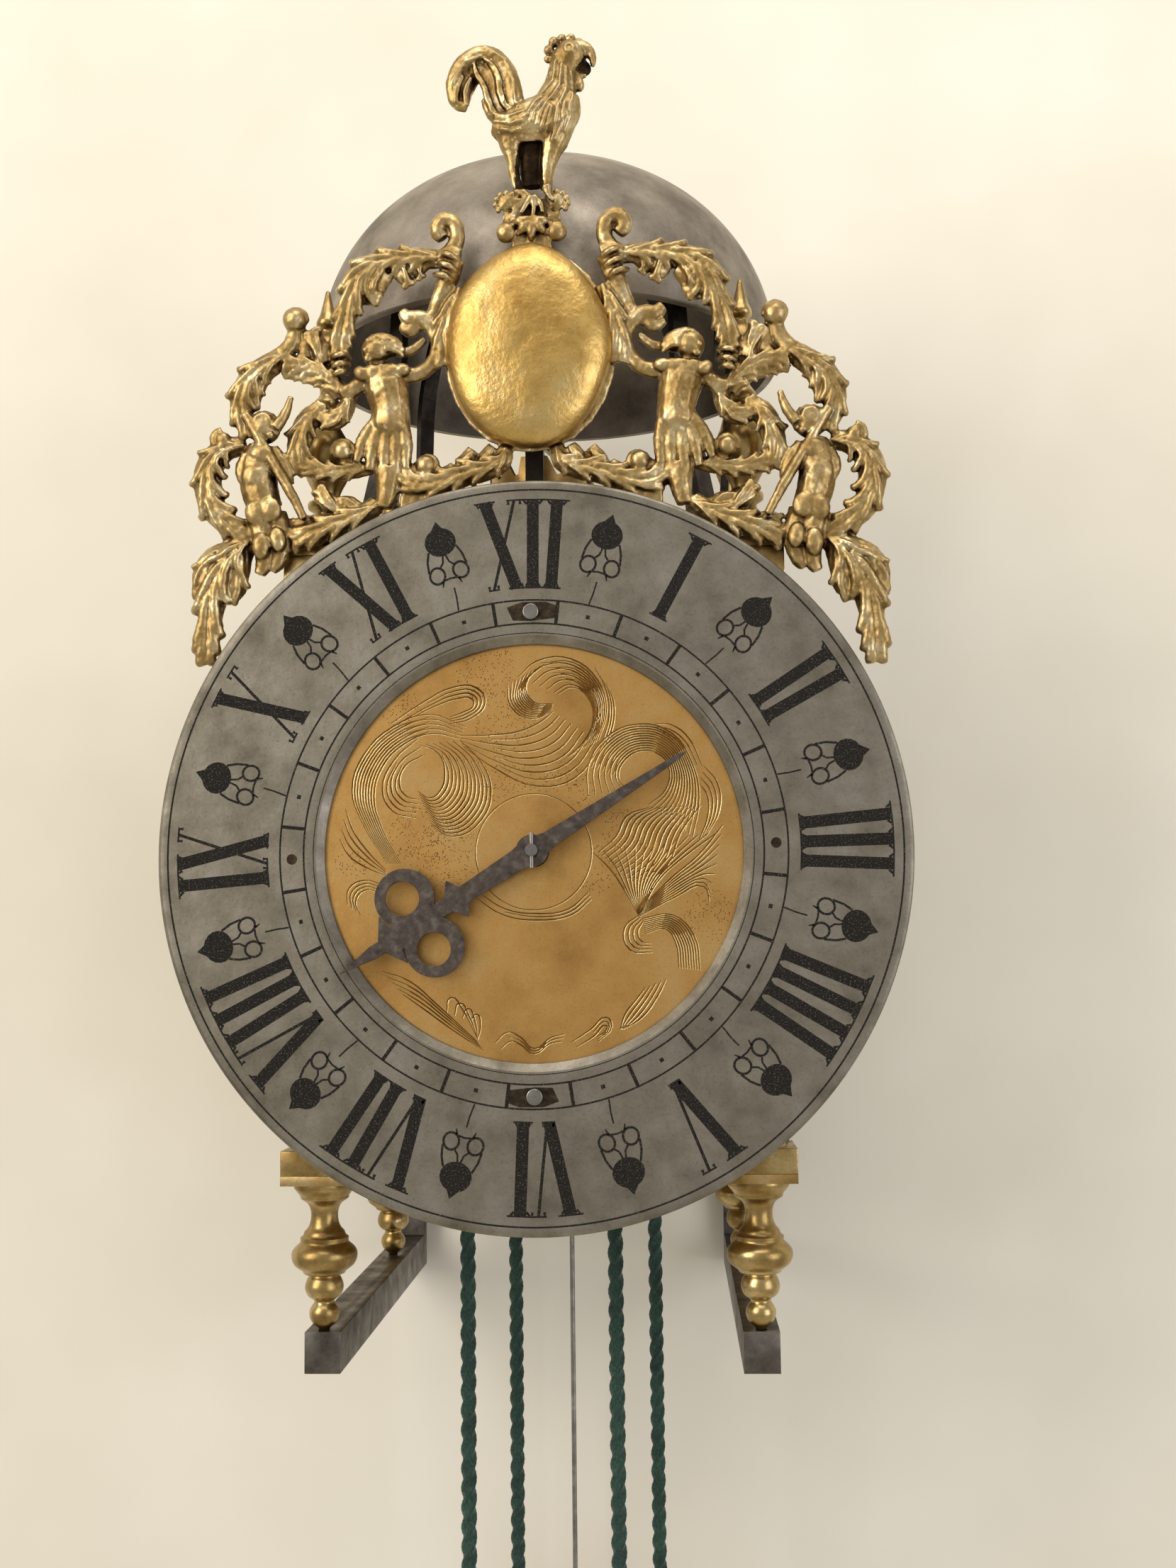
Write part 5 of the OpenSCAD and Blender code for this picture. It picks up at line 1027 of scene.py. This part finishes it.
def ring_point(r, a, y=RING_Y):
    """A place on the dial: a is clockwise from XII in degrees, with the ring's small error."""
    a = math.radians(a - 1.2)
    return at(r * math.sin(a), y, RING_Z + r * math.cos(a))


def dial_ring():
    bm = bmesh.new()
    lathe(bm, [(66.5, 0.02), (119.9, 0.02), (119.95, 2.3), (119.6, 2.75), (118.9, 3.1), (118.2, 3.2),
               (117.4, 3.2),
               (110, 3.2), (100, 3.2), (90, 3.2), (80, 3.2), (72, 3.2), (69.6, 3.2), (69.1, 3.12),
               (66.7, 1.2),
               (66.5, 0.9), (66.5, 0.02)], (0, -212.8, 105), "Y", steps=256)
    ring = new_object("pewter_ring", bm, pewter, auto=12)
    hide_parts("dial_ring")


def plate(bm, points, thick=0.05, y=RING_Y):
    """A thin flat shape on the dial through points of (radius, clock angle)."""
    verts = [bm.verts.new(ring_point(r, a, y)) for r, a in points]
    face = bm.faces.new(verts)
    grown = bmesh.ops.extrude_face_region(bm, geom=[face])
    moved = [v for v in grown["geom"] if isinstance(v, bmesh.types.BMVert)]
    bmesh.ops.translate(bm, verts=moved, vec=(0, -thick * MM, 0))


def stroke(bm, r0, a0, r1, a1, w0, w1=None):
    """An engraved line between two places, w0 and w1 mm wide."""
    w1 = w0 if w1 is None else w1
    p, q = ring_point(r0, a0), ring_point(r1, a1)
    along = (q - p).normalized()
    side = Vector((-along.z, 0, along.x)) * MM
    quad = [p + side * w0 / 2, q + side * w1 / 2, q - side * w1 / 2, p - side * w0 / 2]
    face = bm.faces.new([bm.verts.new(v) for v in quad])
    grown = bmesh.ops.extrude_face_region(bm, geom=[face])
    moved = [v for v in grown["geom"] if isinstance(v, bmesh.types.BMVert)]
    # crossing strokes must not share a plane, so their heights differ by a hair
    bmesh.ops.translate(bm, verts=moved, vec=(0, -(0.04 + 0.004 * (len(bm.faces) // 6 % 9)) * MM, 0))


def circle_line(bm, r, w, segments=240):
    """A thin engraved circle."""
    lathe(bm, [(r - w / 2, 0), (r + w / 2, 0), (r + w / 2, 0.05), (r - w / 2, 0.05), (r - w / 2, 0)],
          (0, RING_Y, RING_Z), "Y", steps=segments)


dial_ring()

# %% [markdown]
# ## Numerals
# The outer ends of the strokes sit on r 113.7 and the inner ends on r 84.5. A thick stroke is
# 3.8 mm wide and a thin one 1.1 mm. Each letter has a width, so a numeral is centred on its hour.

# %% Numerals
R_OUT, R_IN = 113.7, 84.5
widths = {"I": 6.9, "V": 12.6, "X": 12.8}


def turned_by(mm, r):
    """Clock angle of a sideways distance at radius r."""
    return math.degrees(mm / r)


def letter(bm, kind, hour, offset):
    """One letter. offset is the sideways place of its middle in mm at mid height."""
    mid = (R_OUT + R_IN) / 2

    def place(x, r):
        return r, hour + turned_by(offset + x, mid)

    def line(x0, ra, x1, rb, w):
        stroke(bm, *place(x0, ra), *place(x1, rb), w)

    def serif(x, r, half):
        inward = 1 if r > mid else -1
        stroke(bm, *place(x - half, r - inward * 0.2), *place(x + half, r - inward * 0.2), 0.55)
        for s in (-1, 1):
            stroke(bm, *place(x + s * half * 0.8, r - inward * 0.3), *place(x + s * 1.7, r - inward * 1.6),
                   0.4, 1.0)
    if kind == "I":
        line(0, R_IN + 0.2, 0, R_OUT - 0.2, 3.8)
        serif(0, R_OUT, 3.6)
        serif(0, R_IN, 3.6)
    if kind == "V":
        line(-4.1, R_OUT - 0.2, 0.3, R_IN + 0.2, 3.8)
        line(4.7, R_OUT - 0.4, 1.0, R_IN + 0.2, 0.95)
        serif(-4.1, R_OUT, 3.4)
        serif(4.7, R_OUT, 2.2)
        serif(0.6, R_IN, 2.4)
    if kind == "X":
        line(-3.9, R_OUT - 0.2, 3.9, R_IN + 0.2, 3.8)
        line(4.5, R_OUT - 0.4, -4.6, R_IN + 0.4, 0.95)
        for x, r in ((-3.9, R_OUT), (3.9, R_IN)):
            serif(x, r, 3.0)
        for x, r in ((4.5, R_OUT), (-4.6, R_IN)):
            serif(x, r, 2.1)


def numerals():
    bm = bmesh.new()
    hours = ["XII", "I", "II", "III", "IIII", "V", "VI", "VII", "VIII", "IX", "X", "XI"]
    for k, text in enumerate(hours):
        total = sum(widths[c] for c in text)
        x = -total / 2
        for c in text:
            letter(bm, c, 30 * k, x + widths[c] / 2)
            x += widths[c]
    return bm


def scale_marks(bm):
    """The lines and ticks of the inner scale, and the outer border line."""
    for r, w in ((116.7, 0.55), (80.6, 0.55), (73.0, 0.55), (69.9, 0.25)):
        circle_line(bm, r, w)
    for k in range(24):
        stroke(bm, 73.2, 7.5 + 15 * k, 80.4, 7.5 + 15 * k, 1.1)
        a = 15 * k
        stroke(bm, 76.2, a, 77.4, a, 1.3)


def half_hours(bm):
    """The half-hour marks: a round bud with a point, held between two open loops, and a stem."""
    for k in range(12):
        a = 15 + 30 * k

        def place(x, r):
            return r, a + turned_by(x, r)

        def path(points, w0, w1=None):
            for i, (p, q) in enumerate(zip(points, points[1:])):
                stroke(bm, *place(*p), *place(*q), w0, w1)

        bud = [(5.1 * math.sin(math.radians(t)), 104.2 + 4.7 * math.cos(math.radians(t))) for t in range(20,
                                                                                                         345, 20)]
        plate(bm, [place(x, r) for x, r in [(0.4, 111.2)] + bud], 0.05)
        for s in (-1, 1):
            path([(s * (3.9 + 2.5 * math.cos(t * math.pi / 7)), 93.8 + 2.7 * math.sin(t * math.pi / 7))
                  for t in range(15)], 0.75)
            path([(s * 4.6, 102), (s * 5.8, 99), (s * 6.3, 95.4)], 0.7)
            path([(s * 0.5, 99.6), (s * 1.0, 97.4), (s * 2.6, 95.8)], 0.6)
            path([(s * 2.6, 91.4), (s * 3.2, 89.6)], 0.8, 0.3)
        path([(-2.4, 91.6), (0, 91.9), (2.4, 91.6)], 0.6)
        path([(0.2, 88.6), (0, 85), (-0.6, 81)], 0.5)


def rivet_stains():
    """Brown stains round the two rivets, and the two dark peg holes at III and IX."""
    bm = bmesh.new()
    for a in (0, 180):
        plate(bm, [(r, a + 1.2 + side) for r, side in ((74.2, -4.4), (78.6, -5.6), (80, -2), (80.1, 3.4),
                                                       (78.8, 6.8), (75, 6), (73.8, 0))], 0.03)
    for a in (90, 270):
        plate(bm, [(76.8 + 1.7 * math.sin(k * math.pi / 6),
                    a + turned_by(1.7 * math.cos(k * math.pi / 6), 76.8))
                   for k in range(12)], 0.06)
    return bm


def engrave():
    bm = numerals()
    numeral_piece = new_object("engraved_numerals", bm, black_wax, smooth=False)
    marks = bmesh.new()
    scale_marks(marks)
    half_hours(marks)
    piece = new_object("engraved_scale", marks, black_wax, smooth=False)
    new_object("rivet_stains", rivet_stains(), dark_stain, smooth=False)
    print("engraving faces", len(numeral_piece.data.polygons), len(piece.data.polygons))


engrave()
# %% [markdown]
# ## Engraved centre
# The brass disc inside the ring carries acanthus scrolls. An engraver cuts such a leaf as a family
# of lines that fan out between its two edges, so only the edges are written down here and the
# lines between are blended from them. Each cut is a fine tapering brown tube, half sunk in the disc,
# its brown partly tarnish and partly painted shade, with a bright tube beside it as a painted
# highlight on its lit side. Between the scrolls the ground is stippled with a punch.

# %% Families of cuts
engraving = [  # (first line, last line, lines): families of nested cuts, from the hand's centre
    ([(-4.7, 56.1), (1.8, 61.4), (12.7, 61.7), (21.2, 54.6), (23.8, 44.9), (21.0, 35.4)],
     [(8.2, 50.5), (12.6, 52.6), (17.9, 49.3), (19.5, 41.8), (16.7, 35.5), (11.3, 30.2)], 12),
    ([(-8.0, 54.0), (-6.7, 46.5), (-0.5, 42.7), (6.0, 44.7)],
     [(4.0, 60.3), (-2.0, 53.9), (0.6, 48.0), (6.6, 47.4)], 10),
    ([(-23.3, 37.7), (-13.5, 37.6), (-3.8, 38.8), (3.3, 42.1), (6.6, 45.0)],
     [(-22.2, 34.0), (-11.4, 26.4), (1.5, 20.9), (13.3, 23.3), (22.1, 34.3)], 9),
    ([(23.9, 53.5), (26.0, 48.1), (25.9, 40.6), (23.1, 33.2)],
     [(20.2, 58.9), (23.9, 51.3), (24.6, 42.8), (22.6, 35.4)], 3),
    ([(-23.3, 36.1), (-16.3, 28.6), (-13.4, 20.0), (-16.4, 10.6), (-25.6, 5.2), (-32.6, 8.7)],
     [(-36.3, 34.8), (-30.3, 32.0), (-28.2, 25.6), (-29.8, 19.8), (-33.1, 17.7), (-36.9, 19.9)], 13),
    ([(-21.6, 40.4), (-33.0, 44.6), (-45.0, 40.8), (-54.3, 31.9), (-58.1, 20.7), (-54.8, 10.1),
      (-46.6, -3.2)],
     [(-23.8, 36.7), (-33.0, 38.4), (-41.7, 34.9), (-48.3, 28.0), (-51.0, 18.5), (-48.3, 7.9),
      (-42.3, -3.3)], 9),
    ([(-36.9, 36.9), (-44.5, 30.1), (-48.3, 20.6), (-45.0, 13.6), (-38.0, 11.4)],
     [(-35.2, 31.5), (-41.2, 27.9), (-42.8, 22.1), (-40.5, 18.3), (-36.3, 17.2)], 5),
    ([(-60.2, 14.4), (-58.0, 8.0), (-53.7, 1.6), (-47.2, -5.3)],
     [(-62.1, 4.9), (-59.1, -0.4), (-53.7, -4.2), (-47.2, -7.1)], 4),
    ([(-59.6, -16.2), (-59.1, -11.0), (-54.2, -8.4), (-47.7, -10.1)],
     [(-55.3, -19.4), (-56.9, -15.2), (-54.2, -11.6), (-49.9, -12.1)], 4),
    ([(-45.6, 41.9), (-35.2, 48.6), (-25.4, 53.3), (-17.8, 52.9), (-15.1, 48.3), (-20.0, 43.0),
      (-26.5, 41.5)],
     [(-38.5, 43.9), (-30.8, 47.5), (-24.3, 49.5), (-19.4, 49.4), (-18.9, 47.3), (-22.2, 45.2),
      (-26.5, 43.7)], 4),
    ([(17.6, 17.4), (17.7, 27.0), (23.2, 35.9), (34.0, 40.3), (44.7, 37.1), (50.9, 27.5), (52.9, 16.9),
      (50.6, 4.3)],
     [(29.9, 19.4), (27.3, 23.6), (29.5, 28.9), (34.9, 31.8), (40.3, 30.6), (43.4, 26.5), (42.3, 19.2),
      (36.8, 14.5)], 12),
    ([(39.4, 40.4), (44.7, 39.8), (50.0, 35.4), (54.1, 26.4)],
     [(38.3, 38.3), (43.1, 37.1), (47.8, 33.3), (50.9, 27.5)], 3),
    ([(54.7, 26.4), (58.8, 21.0), (59.2, 12.6), (54.8, 4.3)],
     [(53.0, 21.1), (55.6, 16.8), (55.5, 10.5), (52.7, 3.2)], 4),
    ([(20.6, -0.5), (26.5, 4.7), (29.8, 10.9), (36.8, 13.5)],
     [(33.2, -12.2), (42.4, -5.0), (46.8, 5.4), (53.4, 14.3)], 12),
    ([(33.1, -20.5), (28.5, -12.1), (24.3, -5.8), (19.0, -0.5)],
     [(34.2, -19.5), (39.1, -10.2), (48.3, -1.9), (59.1, 5.8)], 13),
    ([(33.2, -19.0), (43.9, -8.7), (52.6, -1.5), (60.2, 7.8)],
     [(33.1, -21.0), (44.9, -14.9), (54.0, -11.9), (55.5, -17.1)], 9),
    ([(33.1, -20.5), (28.6, -24.6), (30.3, -31.4), (37.2, -32.2)],
     [(34.4, -22.6), (32.8, -25.7), (34.1, -28.8), (36.7, -29.4)], 4),
    ([(34.2, -21.6), (43.8, -20.6), (50.5, -27.0), (52.2, -37.8)],
     [(35.2, -26.3), (41.6, -25.0), (44.7, -29.2), (45.6, -37.2)], 9),
    ([(-48.3, -37.3), (-39.7, -40.5), (-31.1, -47.8), (-18.3, -59.5)],
     [(-41.8, -44.6), (-34.3, -49.9), (-26.9, -55.3), (-16.2, -62.4)], 5),
    ([(-27.9, -50.4), (-26.6, -45.8), (-22.6, -50.0), (-18.3, -58.3)],
     [(-20.4, -53.1), (-18.3, -51.1), (-17.2, -54.2), (-18.1, -58.8)], 4),
    ([(41.5, -40.5), (39.1, -45.4), (33.7, -52.6), (27.9, -56.1)],
     [(34.9, -43.3), (31.7, -47.4), (28.5, -51.5), (26.8, -56.1)], 5),
    ([(11.4, -60.1), (17.8, -56.0), (22.6, -52.5), (24.2, -55.1), (19.9, -59.9)],
     [(13.0, -61.6), (18.8, -58.1), (22.6, -55.1), (22.6, -56.1), (19.4, -58.6)], 3),
    ([(-12.5, -59.9), (-8.7, -56.8), (-4.5, -58.4), (-0.3, -62.0), (5.1, -58.5), (9.3, -57.5)],
     [(-10.9, -61.9), (-7.7, -59.6), (-4.5, -60.7), (-0.3, -63.6), (4.5, -60.5), (8.2, -59.8)], 3),
    ([(-18.1, -14.7), (-9.6, -20.0), (1.1, -21.7), (11.8, -20.2), (18.3, -15.1)],
     [(-17.0, -13.1), (-9.0, -18.1), (1.1, -19.7), (10.8, -18.4), (17.2, -13.2)], 3)]
# stippled ground between the scrolls: (x, z, radius)
matted = [(-9.2, 42.3, 10.1), (-8.8, 22.1, 8.8), (9.0, 18.6, 10.1), (-25.6, -0.9, 12.6),
          (-36.4, 5.6, 9.7), (-15.0, 58.5, 9.7), (55.9, -20.8, 8.4), (20.5, -5.7, 7.6), (29.2, 6.7, 7.2),
          (-58.0, -2.6, 5.5), (-42.8, 47.2, 6.3)]


def blended(first, last, t):
    """The line that lies the share t of the way from first to last, which may differ in length."""
    count = max(len(first), len(last))
    def point(line, k):
        place = k * (len(line) - 1) / (count - 1)
        i = min(int(place), len(line) - 2)
        return [a + (b - a) * (place - i) for a, b in zip(line[i], line[i + 1])]
    return [[a + (b - a) * t for a, b in zip(point(first, k), point(last, k))] for k in range(count)]


def engraved_centre():
    y = -212.8
    cuts, highlight_lines = [], []
    for first, last, count in engraving:
        for n in range(count):
            line = blended(first, last, n / (count - 1))
            # every other line stops short, as the graver's lines do
            line = line[n % 2:] if len(line) > 4 and 0 < n < count - 1 else line
            middle = (len(line) - 1) / 2
            wide = [0.10 + 0.24 * (1 - abs(k - middle) / (middle + 0.01)) for k in range(len(line))]
            cuts.append([(x, z + 105, w, y) for (x, z), w in zip(line, wide)])
            # Painted highlight: a bright line 0.3 mm to the lower right of each cut stands for the groove's lit
            # wall.
            highlight_lines.append([(x + 0.32, z + 104.7, w * 0.7, y) for (x, z), w in zip(line, wide)])
    ring = [(18.5 * math.cos(a), 105 + 18.5 * math.sin(a)) for a in (math.radians(10 * k) for k in range(37))]
    cuts.append([(x, z, 0.16, y) for x, z in ring])
    # Painted highlight beside the ring line as well.
    highlight_lines.append([(x + 0.3, z - 0.3, 0.12, y) for x, z in ring])
    random.seed(11)
    for cx, cz, r in matted:
        for _ in range(int(1.7 * r * r)):
            a, reach = random.uniform(0, 2 * math.pi), r * math.sqrt(random.random())
            x, z = cx + reach * math.cos(a), cz + reach * math.sin(a)
            if 19.5 < math.hypot(x, z) < 65.5:
                cuts.append([(x - 0.12, z + 105, 0.2, y), (x + 0.12, z + 105, 0.2, y)])
    for name, stems, material in (("engraved_scrolls", cuts, cut_tarnish_and_shade),
                                  ("engraved_highlight_lines", highlight_lines, painted_edge_highlight)):
        bm = bmesh.new()
        mesh = swept(stems, 0.22, fine=4, sides=1)
        bm.from_mesh(mesh)
        bpy.data.meshes.remove(mesh)
        print(name, "faces", len(bm.faces))
        piece = new_object(name, bm, material)


engraved_centre()

# %% [markdown]
# ## Edges of the plain parts
# A file leaves no knife edges. Plates, bars, brackets, pillars and the hand are copies of the
# solids with their sharp edges bevelled; the hand gets a wide bevel, since it is filed to facets.

# %% Bevelled copies


def softened(node, width, material, segments=2, body="root"):
    bm = bmesh.new()
    bm.from_mesh(nodes[node].data)
    bm.transform(nodes[node].matrix_world)
    bmesh.ops.remove_doubles(bm, verts=bm.verts, dist=0.004 * MM)
    bmesh.ops.dissolve_limit(bm, angle_limit=math.radians(1.0), verts=bm.verts, edges=bm.edges)
    sharp = [e for e in bm.edges if len(e.link_faces) == 2 and e.calc_face_angle(0) > math.radians(38)]
    bmesh.ops.bevel(bm, geom=sharp, offset=width * MM, offset_type="OFFSET", segments=segments, profile=0.6,
                    affect="EDGES", clamp_overlap=True)
    piece = new_object("filed_" + node, bm, material, body=body, auto=32)
    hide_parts(node)
    return piece


slots = {part["node"]: part["material_slot"] for part in frame["record"]["subparts"]}
for node, width, material in (("top_plate", 0.45, aged_brass), ("bottom_plate", 0.45, aged_brass),
                              ("front_plate", 0.25, aged_brass), ("front_bar", 0.4, bar_steel),
                              ("middle_bar", 0.4, bar_steel), ("rear_bar", 0.4, bar_steel),
                              ("bracket_left", 0.5, bar_steel), ("bracket_right", 0.5, bar_steel),
                              ("pillars", 0.3, lathe_brass)):
    softened(node, width, material)
softened("dial_pins", 0.85, filed_steel, segments=4)
softened("hour_hand", 0.55, hand_steel, segments=1, body="hour")
print("bevelled copies: 11")


# %% [markdown]
# ## Finishes on the remaining solids
# Each solid that the scene keeps from CAD gets the metal, or the cotton, that its slot names.

# %% Finishes by slot
by_slot = {"brass": aged_brass, "engraved_brass": centre_brass, "gilt_brass": gilt_casting,
           "dial_pewter": pewter, "dark_iron": wrought_iron, "bright_steel": filed_steel,
           "bracket_steel": bar_steel, "bell_bronze": bell_bronze, "weight_pewter": filed_steel,
           "green_rope": cotton}
for name, obj in nodes.items():
    if not obj.hide_render:
        obj.data.materials.clear()
        obj.data.materials.append(by_slot[slots[name]])
print("finished", sum(not obj.hide_render for obj in nodes.values()), "CAD solids")

# %% [markdown]
# ## Room and light
# The clock hangs on a cream plastered wall. Light comes softly from the left and the front, as
# from a tall window, and a weaker one fills the right. Wall and floor are single sheets. The
# Light Path node shows them to the camera and to mirroring metal, and Backfacing clears them from
# behind, so the clock can be looked at from the back as well.

# %% Wall, floor and lights


def sheet_of(name, size, place, turn, material):
    bm = bmesh.new()
    bmesh.ops.create_grid(bm, x_segments=1, y_segments=1, size=0.5,
                          matrix=Matrix.Translation(place) @ turn.to_4x4()
                          @ Matrix.Diagonal((*size, 1, 1)))
    mesh = bpy.data.meshes.new(name)
    bm.to_mesh(mesh)
    bm.free()
    mesh.materials.append(material)
    obj = bpy.data.objects.new(name, mesh)
    bpy.context.scene.collection.objects.link(obj)
    return obj


def plaster():
    """Limewashed plaster: cream, with very faint patches. Only the camera and the mirroring metal
    see it, and only from the front, so that the clock is also lit and seen from behind."""
    material, tree, shader, mm = start("limewash")
    patches = noise(tree, mm, 180, 3.0)
    tone = ramp(tree, (patches, "Fac"), [(0.3, colour("#dcd6c6")), (0.7, colour("#e9e4d6"))])
    join(tree, shader, "Base Color", (tone, "Color"))
    shader.inputs["Roughness"].default_value = 0.9
    path = add(tree, "ShaderNodeLightPath")
    geometry = add(tree, "ShaderNodeNewGeometry")
    mirrored = add(tree, "ShaderNodeMath", links={0: (path, "Is Glossy Ray"),
                                                  1: (path, "Is Transmission Ray")},
                   operation="MAXIMUM")
    wanted = add(tree, "ShaderNodeMath", links={0: (path, "Is Camera Ray"), 1: (mirrored, "Value")},
                 operation="MAXIMUM")
    seen = add(tree, "ShaderNodeMath", links={0: (wanted, "Value"), 1: (geometry, "Backfacing")},
               operation="SUBTRACT", use_clamp=True)
    clear = add(tree, "ShaderNodeBsdfTransparent")
    both = add(tree, "ShaderNodeMixShader", links={"Fac": (seen, "Value"), 1: (clear, "BSDF"),
                                                   2: (shader, "BSDF")})
    tree.links.new(both.outputs["Shader"], tree.nodes["Material Output"].inputs["Surface"])
    return material


wall_paint = plaster()
sheet_of("wall", (3.0, 3.0), Vector((0, 0.004, 0.3)), Matrix.Rotation(math.radians(90), 3, "X"), wall_paint)
sheet_of("floor", (3.0, 3.0), Vector((0, -1.496, -1.2)), Matrix.Identity(3), wall_paint)


def lamp(name, place, target, size, power, tint):
    """A soft rectangular light that faces target."""
    light = bpy.data.lights.new(name, "AREA")
    light.shape = "RECTANGLE"
    light.size, light.size_y = size
    light.energy = power
    light.color = colour(tint)[:3]
    obj = bpy.data.objects.new(name, light)
    obj.location = place
    obj.rotation_euler = (Vector(target) - Vector(place)).to_track_quat("-Z", "Y").to_euler()
    bpy.context.scene.collection.objects.link(obj)
    return obj


lamp("window", (-1.15, -1.35, 0.75), (0, -0.2, 0.1), (0.9, 1.4), 20, "#fff6ea")
lamp("fill", (1.3, -1.3, 0.2), (0, -0.2, 0.1), (1.0, 1.2), 10, "#f3f3fb")
lamp("above", (0.1, -0.7, 1.35), (0, -0.15, 0.2), (1.0, 0.7), 8, "#fffaf2")

world = bpy.data.worlds.new("room")
world.use_nodes = True
world.node_tree.nodes["Background"].inputs["Color"].default_value = colour("#d9d6cf")
world.node_tree.nodes["Background"].inputs["Strength"].default_value = 0.74
bpy.context.scene.world = world
bpy.context.scene.view_settings.view_transform = "Standard"
